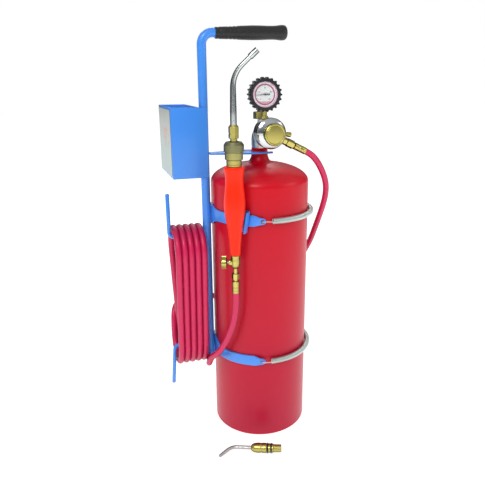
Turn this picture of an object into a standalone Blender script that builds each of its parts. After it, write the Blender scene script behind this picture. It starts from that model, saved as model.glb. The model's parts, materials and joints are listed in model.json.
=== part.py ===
"""Hand-carried torch stand: a blue pole with a tip box, strapping one gas cylinder with its
regulator, hose and torch. Metres, +Z up, the pole on the -X side and the front at -Y."""
from math import cos, degrees, pi, radians, sin, sqrt, tan

import bmesh
import bpy
from mathutils import Matrix, Vector

# Gap between pieces that touch, and the play of pieces that slide or turn in each other
GAP = 0.0003
PLAY = 0.0004
# Sides of round pieces, from the cylinder down to pins
WIDE = 40
MIDDLE = 28
ROUND = 18
SMALL = 12

# Gas cylinder, turned about the vertical axis that every height and distance below is taken from
TANK_R = 0.079
TANK_WALL = 0.0025
SHOULDER_Z = 0.428
DOME_RISE = 0.0305
NECK_R = 0.013
NECK_TOP_Z = 0.481
NECK_BORE_R = 0.0077
FOOT_WIDTH = 0.0035
FOOT_ROUND = 0.0015
RECESS_HEIGHT = 0.018
BOTTOM_WALL = 0.003
PLUG_R = 0.006
PLUG_HEIGHT = 0.005

# Cylinder valve
VALVE_STEM_R = 0.0074
VALVE_THREAD = 0.014
VALVE_FOOT_R = 0.0105
VALVE_BODY_R = 0.013
VALVE_BODY_H = 0.0435
VALVE_TOP_R = 0.0075
VALVE_BORE_R = 0.0036
VALVE_SPINDLE_R = 0.0032
BOSS_R = 0.009
BOSS_REACH = 0.020
PACKING_NUT_R = 0.0101
PACKING_NUT_H = 0.0108
KEY_SQUARE = 0.0063
KEY_HEIGHT = 0.002

# Regulator, on a horizontal axis that points to the front
REG_Z = 0.507
INLET_NUT_R = 0.0138
INLET_NUT_LENGTH = 0.0129
NIPPLE_R = 0.0063
NIPPLE_HEAD_R = 0.0088
NIPPLE_HEAD = 0.0029
REG_BODY_BACK = 0.0293
REG_BODY_R = 0.0226
REG_BODY_LENGTH = 0.0184
CHAMBER_R = REG_BODY_R - 0.0034
CHAMBER_DEPTH = 0.0042
SEAT_BORE_R = 0.0022
POPPET_R = 0.0018
DIAPHRAGM_T = 0.0006
BONNET_R = 0.0232
BONNET_RIM = 0.0075
BONNET_LENGTH = 0.0137
BONNET_NOSE_R = 0.0068
BONNET_WALL = 0.0025
KNOB_R = 0.0167
KNOB_T = 0.007
KNOB_BACK = 0.067
SCREW_R = 0.004
BUTTON_R = 0.0085
BUTTON_T = 0.0022
RANGE_SPRING_R = 0.0062
RANGE_SPRING_WIRE_R = 0.0007
RANGE_SPRING_TURNS = 3

# Outlet on the regulator's right side, radial and turned down by this angle
OUTLET_TILT = radians(26)
OUTLET_DEPTH = 0.040
OUTLET_THREAD_R = 0.004
OUTLET_HEX_R = 0.006
OUTLET_HEX_END = 0.0335
OUTLET_TAIL_R = 0.0034
OUTLET_NUT_R = 0.0066
OUTLET_NUT_LENGTH = 0.0125
RELIEF_TILT = radians(7)
RELIEF_DEPTH = 0.0327
RELIEF_R = 0.0038
RELIEF_THREAD_R = 0.0028
RELIEF_END = 0.0405

# Pressure gauge above the regulator, turned a little about its stem
GAUGE_X = -0.005
GAUGE_DEPTH = 0.0375
GAUGE_Z = 0.5627
GAUGE_TURN = radians(-10)
GAUGE_STEM_R = 0.0039
GAUGE_HEX_R = 0.006
GAUGE_HEX_Z = 0.5303
GAUGE_HEX_H = 0.0071
GAUGE_THREAD = 0.007
CASE_R = 0.0204
CASE_WALL = 0.001
CASE_LENGTH = 0.021
BOOT_ROOT_R = 0.0228
BOOT_TIP_R = 0.0250
BOOT_TEETH = 22
BOOT_LIP_R = 0.0186
BOOT_LIP_T = 0.0015
DIAL_T = 0.0008
POINTER_LENGTH = 0.0135
POINTER_TAIL = 0.0062
POINTER_T = 0.0006
LENS_T = 0.0015
BOURDON_R = 0.0125
BOURDON_TUBE_R = 0.0015

# Carrying pole and its grip
POLE_R = 0.0068
POLE_WALL = 0.0016
POLE_BOTTOM_Z = 0.1310
POLE_TOP_Z = 0.646
POLE_BEND_R = 0.0170
GRIP_START_X = -0.069
GRIP_LENGTH = 0.112
GRIP_RISE = radians(1.5)
GRIP_START_R = 0.0080
GRIP_R = 0.0088
GRIP_MIDDLE_R = 0.0105
GRIP_END_R = 0.0112
GRIP_CAP = 0.008

# Tip box, folded from sheet, with one flange across the front of the pole
SHEET = 0.0015
BOX_LEFT_X = -0.1410
BOX_DEPTH = 0.1156
BOX_BOTTOM_Z = 0.4380
BOX_HEIGHT = 0.1060
FLANGE_INSET = 0.0028
LABEL_T = 0.0004
LABEL_MARGIN = 0.0035

# Neck plate, a fork that holds the cylinder's neck
PLATE_Z = 0.4740
PLATE_T = 0.003
PLATE_HALF_WIDTH = 0.0195
PLATE_REACH = 0.017
FORK_PLAY = 0.0008

# Strap bands
STRAP_T = 0.003
STRAP_HALF_WIDTH = 0.0086
UPPER_STRAP_Z = 0.3805
LOWER_STRAP_Z = 0.1446
STRAP_END_ANGLE = radians(102)
STRAP_END_HALF_WIDTH = 0.0050
STRAP_END_LIFT = 0.0035
HOOK_HOLE_R = 0.0026

# Closed-coil springs that close the straps round the cylinder
SPRING_R = 0.0047
SPRING_WIRE_R = 0.0008
SPRING_LEAD = 0.0160
SPRING_STEPS = 40

# Torch cradle, folded from sheet and welded to the upper strap
TORCH_ANGLE = radians(231)
TORCH_DISTANCE = TANK_R + 0.0247
CRADLE_T = 0.002
CRADLE_BOTTOM_Z = 0.3640
CRADLE_TOP_Z = 0.3965
CRADLE_REACH = 0.0975

# Hose hooks
ROD_R = 0.0031
ROD_BEND_R = 0.008
UPPER_HOOK_Z = 0.3450
UPPER_HOOK_END_Z = 0.4150
LOWER_HOOK_Z = 0.1545
LOWER_HOOK_END_Z = 0.0850
LOWER_HOOK_LEAN = 0.0050

# Torch, on its own vertical axis: heights up from its lower end
HANDLE_BOTTOM_Z = 0.3325
HANDLE_PROFILE = (
    (0.0000, 0.0080), (0.0090, 0.0082), (0.0245, 0.0092), (0.0400, 0.0110), (0.0520, 0.0128),
    (0.0680, 0.0154), (0.0850, 0.0155), (0.0995, 0.0140), (0.1140, 0.0130), (0.1250, 0.0140),
    (0.1300, 0.0146), (0.1330, 0.0138),
)
HANDLE_WALL = 0.003
HANDLE_BORE_R = 0.0041
GAS_TUBE_R = 0.0035
GAS_TUBE_BORE_R = 0.002
SOCKET_R = 0.011
SOCKET_STEP = 0.0092
SOCKET_BARREL_R = 0.0078
SOCKET_BARREL = 0.0222
SOCKET_BORE_R = 0.0055
COLLAR_LOW_R = 0.013
COLLAR_LOW = 0.011
COLLAR_HIGH_R = 0.0145
COLLAR_HIGH = 0.014
COLLAR_SKIRT = 0.0095
COLLAR_SPRING_WIRE_R = 0.0005
COLLAR_SPRING_TURNS = 3
TORCH_VALVE_R = 0.0069
TORCH_VALVE_H = 0.0242
TORCH_VALVE_KNOB_Z = 0.3205
TORCH_KNOB_R = 0.0095
TORCH_KNOB_T = 0.0095
TORCH_KNOB_BACK = 0.0125
TORCH_BOSS_R = 0.0045
TORCH_BOSS_REACH = 0.0105
NEEDLE_R = 0.0017
TAIL_R = 0.0034
TAIL_LENGTH = 0.030
TORCH_NUT_R = 0.0058
TORCH_NUT_H = 0.0090
TORCH_NUT_TOP_Z = 0.3030
FERRULE_R = 0.0055
FERRULE_LENGTH = 0.0225

# Tip in the torch, and the loose spare one on the floor
TIP_HEX_R = 0.0076
TIP_HEX_H = 0.0190
TIP_STEM_R = 0.0051
TIP_STEM = 0.020
TIP_GAP = 0.004
TIP_TUBE_R = 0.0047
TIP_NOZZLE_R = 0.0032
TIP_STRAIGHT = 0.0560
TIP_BEND_R = 0.040
TIP_BEND = radians(47)
TIP_END_RUN = 0.0165
TIP_SLEEVE_R = 0.0043
TIP_SLEEVE = 0.0140
TIP_HEADING = radians(-18.5)
TUBE_BORE_R = 0.0017
SPARE_X = -0.0358
SPARE_Y = -0.1176
SPARE_BODY_R = 0.0078
SPARE_BODY = 0.0345
SPARE_END_R = 0.0060
SPARE_END = 0.0150
SPARE_TUBE_R = 0.0027
SPARE_RUN = 0.0240
SPARE_BEND_R = 0.0180
SPARE_BEND = radians(48)
SPARE_NOZZLE = 0.0180
SPARE_HEADING = radians(-21)
SPARE_ROLL = radians(-100)
ORING_R = 0.0010
ORING_PITCH = 0.0060

# Hose
HOSE_R = 0.005
HANK_TOP_Z = 0.3640
HANK_BOTTOM_Z = 0.1200
HANK_FRONT_Y = -0.0362
HANK_BACK_Y = 0.0468
HANK_WALL = 0.012
HANK_WIDTH = 0.0505
HANK_PLAY = 0.0004
HOSE_STEP = 0.022
REGULATOR_RUN = (
    (0.0860, -0.0370, 0.4560), (0.1015, -0.0310, 0.4295), (0.1075, -0.0245, 0.4100),
    (0.1090, -0.0160, 0.3890), (0.1075, -0.0050, 0.3650), (0.1040, 0.0100, 0.3320),
    (0.1005, 0.0220, 0.3065), (0.0880, 0.0540, 0.2560), (0.0700, 0.0780, 0.2330),
    (0.0420, 0.0970, 0.2150), (0.0080, 0.1020, 0.2030), (-0.0300, 0.1000, 0.1970),
    (-0.0660, 0.0940, 0.1950), (-0.0980, 0.0860, 0.1980), (-0.1230, 0.0770, 0.2040),
    (-0.1370, 0.0660, 0.2110),
)
REGULATOR_RUN_END = (-0.1410, 0.0488, 0.2130)
TORCH_RUN = (
    (-0.0650, -0.0800, 0.2420), (-0.0690, -0.0780, 0.2215), (-0.0740, -0.0735, 0.2010),
    (-0.0810, -0.0680, 0.1815), (-0.0900, -0.0620, 0.1640), (-0.0965, -0.0490, 0.1490),
)
TORCH_RUN_END = (-0.0985, -0.0330, 0.1352)

# The pole stands off the cylinder by the strap between them
POLE_X = -(TANK_R + GAP + STRAP_T + GAP + POLE_R)
HANK_RIGHT_X = POLE_X - POLE_R - HANK_PLAY
HANK_LEFT_X = HANK_RIGHT_X - HANK_WIDTH
ROD_TIP_X = HANK_LEFT_X - ROD_R - HANK_PLAY
STRAP_MID_R = TANK_R + GAP + STRAP_T / 2
SPRING_MID_R = TANK_R + GAP + SPRING_R
BOX_FRONT_Y = -(POLE_R + GAP + SHEET)
BOX_BACK_Y = BOX_FRONT_Y + BOX_DEPTH
# Middle of the footprint, so that the model's origin lies below the centre of its box
SPARE_REACH = SPARE_END_R * cos(SPARE_HEADING) - (SPARE_BODY / 2 + SPARE_END) * sin(SPARE_HEADING)
FRAME_X = -(ROD_TIP_X - LOWER_HOOK_LEAN - ROD_R + SPRING_MID_R + SPRING_R) / 2
FRAME_Y = -(SPARE_Y - SPARE_REACH + BOX_BACK_Y) / 2

STEEL = ((0.62, 0.64, 0.65), 0.3, 1.0)
CHROME = ((0.80, 0.82, 0.83), 0.12, 1.0)
BRASS = ((0.62, 0.55, 0.20), 0.35, 1.0)
ZINC = ((0.60, 0.68, 0.64), 0.4, 1.0)
BLUE = ((0.05, 0.30, 0.85), 0.35, 0.0)
RED = ((0.60, 0.01, 0.03), 0.3, 0.0)
ORANGE = ((0.95, 0.06, 0.01), 0.4, 0.0)
HOSE_RED = ((0.75, 0.02, 0.18), 0.5, 0.0)
RUBBER = ((0.02, 0.02, 0.02), 0.7, 0.0)
SILVER = ((0.55, 0.60, 0.58), 0.4, 0.3)
WHITE = ((0.85, 0.85, 0.85), 0.5, 0.0)
BLACK = ((0.01, 0.01, 0.01), 0.5, 0.0)
CLEAR = ((0.95, 0.95, 0.97), 0.05, 0.0)
CHALK = ((0.70, 0.68, 0.62), 0.9, 0.0)


def clear_scene():
    for obj in list(bpy.data.objects):
        bpy.data.objects.remove(obj, do_unlink=True)


def collection(name):
    made = bpy.data.collections.new(name)
    bpy.context.scene.collection.children.link(made)
    return made


def frame(name, location, rotation=(0, 0, 0), parent=None):
    """An empty that pieces are placed under."""
    obj = bpy.data.objects.new(name, None)
    GUIDES.objects.link(obj)
    obj.location = location
    obj.rotation_euler = rotation
    obj.parent = parent
    return obj


def paint(obj, finish):
    colour, roughness, metallic = finish
    material = bpy.data.materials.new(obj.name)
    material.use_nodes = True
    shader = material.node_tree.nodes["Principled BSDF"]
    shader.inputs["Base Color"].default_value = (*colour, 1)
    shader.inputs["Roughness"].default_value = roughness
    shader.inputs["Metallic"].default_value = metallic
    obj.data.materials.append(material)


def piece(name, data, finish, parent, location=(0, 0, 0), rotation=(0, 0, 0)):
    obj = bpy.data.objects.new(name, data)
    PARTS.objects.link(obj)
    obj.parent = parent
    obj.location = location
    obj.rotation_euler = rotation
    paint(obj, finish)
    return obj


def turned(name, profile, finish, parent, location=(0, 0, 0), rotation=(0, 0, 0), sides=ROUND):
    """A piece turned about its own Z axis. The profile's (radius, height) points run up its inner
    side and down its outer side; one that starts off the axis is closed into a ring."""
    mesh = bpy.data.meshes.new(name)
    bm = bmesh.new()
    verts = [bm.verts.new((radius, 0, height)) for radius, height in profile]
    for first, second in zip(verts, verts[1:]):
        bm.edges.new((first, second))
    if profile[0][0] > 0:
        bm.edges.new((verts[-1], verts[0]))
    bm.to_mesh(mesh)
    bm.free()
    obj = piece(name, mesh, finish, parent, location, rotation)
    screw = obj.modifiers.new("Turn", "SCREW")
    screw.steps = sides
    screw.render_steps = sides
    screw.use_merge_vertices = True
    screw.merge_threshold = 0.00001
    return obj


def ring(inner, outer, low, high):
    """Profile of a plain tube."""
    return [(outer, high), (outer, low), (inner, low), (inner, high)]


def disc(radius, low, high):
    """Profile of a plain solid disc or pin."""
    return [(0, high), (radius, high), (radius, low), (0, low)]


def prism_mesh(name, sides, radius, low, high, turn=0.0):
    mesh = bpy.data.meshes.new(name)
    bm = bmesh.new()
    lift = Matrix.Translation((0, 0, (low + high) / 2)) @ Matrix.Rotation(turn, 4, "Z")
    bmesh.ops.create_cone(
        bm, cap_ends=True, segments=sides, radius1=radius, radius2=radius, depth=high - low, matrix=lift)
    bm.to_mesh(mesh)
    bm.free()
    return mesh


def hexagon(name, radius, low, high, finish, parent, location=(0, 0, 0), rotation=(0, 0, 0)):
    return piece(name, prism_mesh(name, 6, radius, low, high), finish, parent, location, rotation)


def block_mesh(name, low, high):
    """A box from its lowest to its highest corner."""
    low, high = Vector(low), Vector(high)
    mesh = bpy.data.meshes.new(name)
    bm = bmesh.new()
    place = Matrix.Translation((low + high) / 2) @ Matrix.Diagonal((*(high - low), 1))
    bmesh.ops.create_cube(bm, size=1, matrix=place)
    bm.to_mesh(mesh)
    bm.free()
    return mesh


def boolean(obj, mesh, operation, location=None, rotation=None):
    """Cut a mesh from a piece, or join it on, placed as the piece is unless told otherwise."""
    tool = bpy.data.objects.new(f"{obj.name}_tool", mesh)
    TOOLS.objects.link(tool)
    tool.parent = obj.parent
    tool.location = obj.location if location is None else location
    tool.rotation_euler = obj.rotation_euler if rotation is None else rotation
    tool.display_type = "WIRE"
    tool.hide_render = True
    modifier = obj.modifiers.new(operation.title(), "BOOLEAN")
    modifier.operation = operation
    modifier.solver = "EXACT"
    modifier.object = tool
    return obj


def drill(obj, radius, low, high, location=None, rotation=None, sides=SMALL):
    return boolean(obj, prism_mesh("bore", sides, radius, low, high), "DIFFERENCE", location, rotation)


def join_rod(obj, radius, low, high, location=None, rotation=None, sides=SMALL):
    return boolean(obj, prism_mesh("rod", sides, radius, low, high), "UNION", location, rotation)


def wire(name, points, radius, finish, parent, sizes=None, caps=True, resolution=2,
         location=(0, 0, 0), rotation=(0, 0, 0)):
    """A round tube along points, with an optional radius at each as a share of the full one."""
    curve = bpy.data.curves.new(name, "CURVE")
    curve.dimensions = "3D"
    curve.bevel_depth = radius
    curve.bevel_resolution = resolution
    curve.use_fill_caps = caps
    spline = curve.splines.new("POLY")
    spline.points.add(len(points) - 1)
    for index, (target, point) in enumerate(zip(spline.points, points)):
        target.co = (*point, 1)
        target.radius = 1 if sizes is None else sizes[index]
    return piece(name, curve, finish, parent, location, rotation)


def outline(name, rings, thickness, finish, parent, location=(0, 0, 0), rotation=(0, 0, 0)):
    """A flat piece cut from plate: closed rings of (x, y), the first outside and the others holes."""
    curve = bpy.data.curves.new(name, "CURVE")
    curve.dimensions = "2D"
    curve.fill_mode = "BOTH"
    curve.extrude = thickness / 2
    for points in rings:
        spline = curve.splines.new("POLY")
        spline.points.add(len(points) - 1)
        for target, point in zip(spline.points, points):
            target.co = (*point, 0, 1)
        spline.use_cyclic_u = True
    return piece(name, curve, finish, parent, location, rotation)


def as_mesh(obj):
    """A curve piece turned into a mesh one, so that it can be cut."""
    bpy.context.view_layer.update()
    solid = bpy.data.meshes.new_from_object(obj.evaluated_get(bpy.context.evaluated_depsgraph_get()))
    bm = bmesh.new()
    bm.from_mesh(solid)
    bmesh.ops.remove_doubles(bm, verts=bm.verts, dist=0.000001)
    bm.to_mesh(solid)
    bm.free()
    name, parent = obj.name, obj.parent
    location, rotation = obj.location.copy(), obj.rotation_euler.copy()
    bpy.data.objects.remove(obj, do_unlink=True)
    made = bpy.data.objects.new(name, solid)
    PARTS.objects.link(made)
    made.parent = parent
    made.location = location
    made.rotation_euler = rotation
    return made


def sheet(name, columns, rows, point, thickness, finish, parent):
    """A bent sheet: a flat grid laid by point(column, row), then given its thickness."""
    mesh = bpy.data.meshes.new(name)
    bm = bmesh.new()
    bmesh.ops.create_grid(bm, x_segments=columns, y_segments=rows, size=0.5)
    for vert in bm.verts:
        vert.co = point(round((vert.co.x + 0.5) * columns), round((vert.co.y + 0.5) * rows))
    bm.to_mesh(mesh)
    bm.free()
    obj = piece(name, mesh, finish, parent)
    solidify = obj.modifiers.new("Thickness", "SOLIDIFY")
    solidify.thickness = thickness
    solidify.offset = 0
    solidify.use_even_offset = True
    return obj


def arc(radius, start, end, steps, centre=(0, 0)):
    """Points on a flat arc."""
    turns = [start + (end - start) * step / steps for step in range(steps + 1)]
    return [(centre[0] + radius * cos(turn), centre[1] + radius * sin(turn)) for turn in turns]


def polar(radius, angle, height):
    return (radius * cos(angle), radius * sin(angle), height)


def bent_rod(start, corner, end, radius, steps=8):
    """Centre line of a rod bent once at a corner, on an arc."""
    start, corner, end = Vector(start), Vector(corner), Vector(end)
    before = (start - corner).normalized()
    after = (end - corner).normalized()
    half = before.angle(after) / 2
    centre = corner + (before + after).normalized() * radius / sin(half)
    first = corner + before * radius / tan(half)
    spoke = first - centre
    axis = before.cross(after)
    sweep = pi - 2 * half
    bend = [centre + Matrix.Rotation(-sweep * step / steps, 3, axis) @ spoke for step in range(steps + 1)]
    return [start, *bend, end]


def smooth_path(points, step):
    """A smooth curve through the points, read off at about one step each."""
    points = [Vector(point) for point in points]
    padded = [2 * points[0] - points[1], *points, 2 * points[-1] - points[-2]]
    path = []
    for before, start, end, after in zip(padded, padded[1:], padded[2:], padded[3:]):
        count = max(1, round((end - start).length / step))
        for index in range(count):
            t = index / count
            path.append(0.5 * (
                2 * start + (end - before) * t + (2 * before - 5 * start + 4 * end - after) * t * t
                + (3 * start - before - 3 * end + after) * t * t * t))
    path.append(points[-1])
    return path


def helix(radius, low, high, turns, per_turn=12):
    """Centre line of a coil about Z."""
    count = turns * per_turn
    return [
        polar(radius, 2 * pi * index / per_turn, low + (high - low) * index / count)
        for index in range(count + 1)
    ]


def handle_radius(height):
    """Outer radius of the torch handle at a height above its lower end."""
    for (low, first), (high, second) in zip(HANDLE_PROFILE, HANDLE_PROFILE[1:]):
        if height <= high:
            return first + (second - first) * (height - low) / (high - low)
    return HANDLE_PROFILE[-1][1]


def dome(radius, base, rise, inner, steps):
    """Quarter of an ellipse from near the axis out to the wall, top to bottom."""
    heights = []
    for step in range(steps + 1):
        turn = radians(90) * step / steps
        reach = radius * sin(turn)
        if reach > inner:
            heights.append((reach, base + rise * cos(turn)))
    return heights


def build_cylinder(cart):
    inner_r = TANK_R - TANK_WALL
    recess_r = TANK_R - FOOT_ROUND - FOOT_WIDTH
    floor_z = RECESS_HEIGHT + BOTTOM_WALL
    inside = [(0, floor_z)]
    inside += [(recess_r * sin(turn), 0.006 + (floor_z - 0.006) * cos(turn)) for turn in (0.6, 1.15)]
    inside += [(inner_r, 0.011)]
    inside += list(reversed(dome(inner_r, SHOULDER_Z, DOME_RISE - TANK_WALL, NECK_BORE_R, 5)))
    top_of_dome = SHOULDER_Z + (DOME_RISE - TANK_WALL) * sqrt(1 - (NECK_BORE_R / inner_r) ** 2)
    inside += [(NECK_BORE_R, top_of_dome), (NECK_BORE_R, NECK_TOP_Z)]
    neck_foot_z = SHOULDER_Z + DOME_RISE * sqrt(1 - (NECK_R / TANK_R) ** 2)
    outside = [(NECK_R, NECK_TOP_Z), (NECK_R, neck_foot_z + 0.002), (NECK_R + 0.002, neck_foot_z)]
    outside += dome(TANK_R, SHOULDER_Z, DOME_RISE, NECK_R + 0.003, 8)
    outside += [(TANK_R, FOOT_ROUND), (TANK_R - FOOT_ROUND, 0), (recess_r, 0)]
    outside += [(recess_r * sin(turn), 0.003 + (RECESS_HEIGHT - 0.003) * cos(turn)) for turn in (1.15, 0.6)]
    outside += [(0, RECESS_HEIGHT)]
    turned("cylinder_shell", inside + outside, RED, cart, sides=WIDE)

    filler_r = inner_r - GAP
    filler = [(0, SHOULDER_Z + DOME_RISE - TANK_WALL - 0.012)]
    filler += dome(filler_r, SHOULDER_Z - 0.001, DOME_RISE - TANK_WALL - 0.011, 0.001, 4)
    filler += [(filler_r, floor_z + GAP), (0, floor_z + GAP)]
    turned("porous_filler", filler, CHALK, cart, sides=WIDE)

    plug_top = RECESS_HEIGHT - 0.001
    hexagon("fusible_plug", PLUG_R, plug_top - PLUG_HEIGHT, plug_top, BRASS, cart)


def build_cylinder_valve(cart):
    base = NECK_TOP_Z + GAP
    top = base + VALVE_BODY_H
    body = turned("tank_valve_body", [
        (0, top), (VALVE_TOP_R, top), (VALVE_TOP_R, top - 0.006), (VALVE_BODY_R - 0.002, top - 0.011),
        (VALVE_BODY_R, top - 0.016), (VALVE_BODY_R, base + 0.009), (VALVE_FOOT_R, base + 0.005),
        (VALVE_FOOT_R, base), (VALVE_STEM_R, base), (VALVE_STEM_R, base - VALVE_THREAD),
        (0, base - VALVE_THREAD)], BRASS, cart)
    forward = (radians(90), 0, 0)
    join_rod(body, BOSS_R, 0.002, BOSS_REACH, (0, 0, REG_Z), forward, ROUND)
    seat_z = REG_Z - VALVE_BORE_R - 0.0005
    drill(body, VALVE_BORE_R, seat_z, top + 0.001)
    drill(body, VALVE_BORE_R * 0.9, -0.0013, BOSS_REACH + 0.001, (0, 0, REG_Z), forward)
    drill(body, VALVE_BORE_R * 0.6, base - VALVE_THREAD - 0.001, seat_z + 0.001)

    nut_low = top + GAP
    nut = hexagon("valve_packing_nut", PACKING_NUT_R, nut_low, nut_low + PACKING_NUT_H, BRASS, cart)
    drill(nut, VALVE_SPINDLE_R + PLAY, nut_low - 0.001, nut_low + PACKING_NUT_H + 0.001)

    key_low = nut_low + PACKING_NUT_H + 0.0005
    spindle_low = REG_Z + 0.006
    stem = turned("tank_valve_stem", disc(VALVE_SPINDLE_R, spindle_low, key_low + 0.001), STEEL, cart)
    square = KEY_SQUARE / 2
    key = block_mesh("key", (-square, -square, key_low), (square, square, key_low + KEY_HEIGHT))
    boolean(stem, key, "UNION")


def build_regulator(cart):
    """Everything here is in the regulator's frame: its Z axis points to the front, Y up."""
    reg = frame("regulator_axis", (0, 0, REG_Z), (radians(90), 0, 0), cart)
    nut_back = VALVE_BODY_R + 2 * GAP
    head_back = BOSS_REACH + GAP
    head_front = head_back + NIPPLE_HEAD
    nut_front = nut_back + INLET_NUT_LENGTH
    nut = hexagon("inlet_nut", INLET_NUT_R, nut_back, nut_front, BRASS, reg)
    drill(nut, BOSS_R + GAP, nut_back - 0.001, head_front + GAP, sides=ROUND)
    drill(nut, NIPPLE_R + GAP, head_front, nut_front + 0.001, sides=ROUND)
    turned("inlet_nipple", [
        (SEAT_BORE_R, REG_BODY_BACK - GAP), (NIPPLE_R, REG_BODY_BACK - GAP), (NIPPLE_R, head_front),
        (NIPPLE_HEAD_R, head_front), (NIPPLE_HEAD_R, head_back), (SEAT_BORE_R, head_back)], BRASS, reg)

    front = REG_BODY_BACK + REG_BODY_LENGTH
    chamber = front - CHAMBER_DEPTH
    body = turned("regulator_body", [
        (SEAT_BORE_R, chamber), (CHAMBER_R, chamber), (CHAMBER_R, front), (REG_BODY_R, front),
        (REG_BODY_R, REG_BODY_BACK + 0.001), (REG_BODY_R - 0.001, REG_BODY_BACK),
        (SEAT_BORE_R, REG_BODY_BACK)], CHROME, reg, sides=MIDDLE)
    drill(body, GAUGE_STEM_R + PLAY, GAUGE_HEX_Z - REG_Z - GAUGE_THREAD - 0.001, REG_BODY_R + 0.001,
          (GAUGE_X, 0, GAUGE_DEPTH), (radians(-90), 0, 0))
    outward = (0, radians(90), -OUTLET_TILT)
    drill(body, OUTLET_THREAD_R + GAP, REG_BODY_R - 0.0055, REG_BODY_R + 0.002,
          (0, 0, OUTLET_DEPTH), outward)
    relief_way = (0, radians(90), -RELIEF_TILT)
    drill(body, RELIEF_THREAD_R + GAP, REG_BODY_R - 0.0050, REG_BODY_R + 0.002,
          (0, 0, RELIEF_DEPTH), relief_way)
    turned("regulator_poppet", disc(POPPET_R, REG_BODY_BACK + 0.003, front), STEEL, reg, sides=SMALL)

    disc_low = front + GAP
    disc_high = disc_low + DIAPHRAGM_T
    turned("regulator_diaphragm", disc(BONNET_R - 0.001, disc_low, disc_high), RUBBER, reg)

    back = disc_high + GAP
    rim = back + BONNET_RIM
    nose = back + BONNET_LENGTH
    turned("regulator_bonnet", [
        (SCREW_R + PLAY, nose), (BONNET_NOSE_R, nose), (BONNET_NOSE_R, nose - 0.0012),
        (BONNET_R * 0.64, nose - 0.0022), (BONNET_R * 0.85, rim + 0.0022), (BONNET_R, rim),
        (BONNET_R, back), (CHAMBER_R, back), (CHAMBER_R, rim - 0.001),
        (BONNET_R * 0.60, nose - 0.0022 - BONNET_WALL), (SCREW_R + PLAY, nose - 0.0022 - BONNET_WALL)],
        CHROME, reg, sides=MIDDLE)

    button_front = nose - 0.0022 - BONNET_WALL - 0.0008
    button_back = button_front - BUTTON_T
    turned("spring_button", disc(BUTTON_R, button_back, button_front), STEEL, reg)
    coil_low = disc_high + GAP + RANGE_SPRING_WIRE_R
    coil_high = button_back - GAP - RANGE_SPRING_WIRE_R
    wire("range_spring", helix(RANGE_SPRING_R, coil_low, coil_high, RANGE_SPRING_TURNS),
         RANGE_SPRING_WIRE_R, STEEL, reg, resolution=1)

    knob_front = KNOB_BACK + KNOB_T
    turned("adjusting_screw", disc(SCREW_R, button_front + GAP, knob_front - 0.0015), STEEL, reg)
    turned("adjusting_knob", [
        (0, knob_front), (KNOB_R - 0.001, knob_front), (KNOB_R, knob_front - 0.001),
        (KNOB_R, KNOB_BACK + 0.001), (KNOB_R - 0.001, KNOB_BACK), (SCREW_R + GAP, KNOB_BACK),
        (SCREW_R + GAP, knob_front - 0.0015 + GAP), (0, knob_front - 0.0015 + GAP)],
        BRASS, reg, sides=MIDDLE)
    build_outlet(reg, outward, relief_way)
    build_gauge(reg)


def build_outlet(reg, outward, relief_way):
    """Fittings along the outlet's axis, by their distance from the regulator's axis."""
    place = (0, 0, OUTLET_DEPTH)
    hex_start = REG_BODY_R + GAP
    tail_end = OUTLET_HEX_END + 0.0190
    fitting = turned("outlet_fitting", disc(OUTLET_THREAD_R, REG_BODY_R - 0.005, OUTLET_HEX_END),
                     BRASS, reg, place, outward, SMALL)
    boolean(fitting, prism_mesh("hex", 6, OUTLET_HEX_R, hex_start, OUTLET_HEX_END - GAP), "UNION")
    join_rod(fitting, OUTLET_TAIL_R, OUTLET_HEX_END - 0.001, tail_end)
    drill(fitting, TUBE_BORE_R, REG_BODY_R - 0.006, tail_end + 0.001, sides=8)

    nut_end = OUTLET_HEX_END + OUTLET_NUT_LENGTH
    nut = hexagon("outlet_hose_nut", OUTLET_NUT_R, OUTLET_HEX_END + GAP, nut_end, BRASS, reg, place, outward)
    drill(nut, OUTLET_TAIL_R + GAP, OUTLET_HEX_END - 0.001, nut_end + 0.001)
    ferrule(reg, "outlet_ferrule", nut_end + GAP, FERRULE_LENGTH, tail_end, place, outward)

    turned("relief_valve", [
        (0, RELIEF_END), (RELIEF_R - 0.0008, RELIEF_END), (RELIEF_R, RELIEF_END - 0.0008),
        (RELIEF_R, hex_start + 0.0006), (RELIEF_THREAD_R, hex_start + 0.0006),
        (RELIEF_THREAD_R, REG_BODY_R - 0.0045), (0, REG_BODY_R - 0.0045)],
        BRASS, reg, (0, 0, RELIEF_DEPTH), relief_way, SMALL)


def ferrule(parent, name, start, length, tail_end, place=(0, 0, 0), rotation=(0, 0, 0)):
    """Crimped sleeve that holds the hose on a barbed tail, with a seat for the hose's end."""
    end = start + length
    inner = OUTLET_TAIL_R + GAP
    seat = tail_end + 0.001
    turned(name, [
        (0, end - GAP), (FERRULE_R * 0.93, end), (FERRULE_R, end - 0.001), (FERRULE_R, end - 0.008),
        (FERRULE_R * 0.88, end - 0.0092), (FERRULE_R * 0.88, end - 0.0115),
        (FERRULE_R, end - 0.0127), (FERRULE_R, start + 0.002), (FERRULE_R * 0.8, start),
        (inner, start), (inner, seat), (0, seat)], BRASS, parent, place, rotation)


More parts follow.
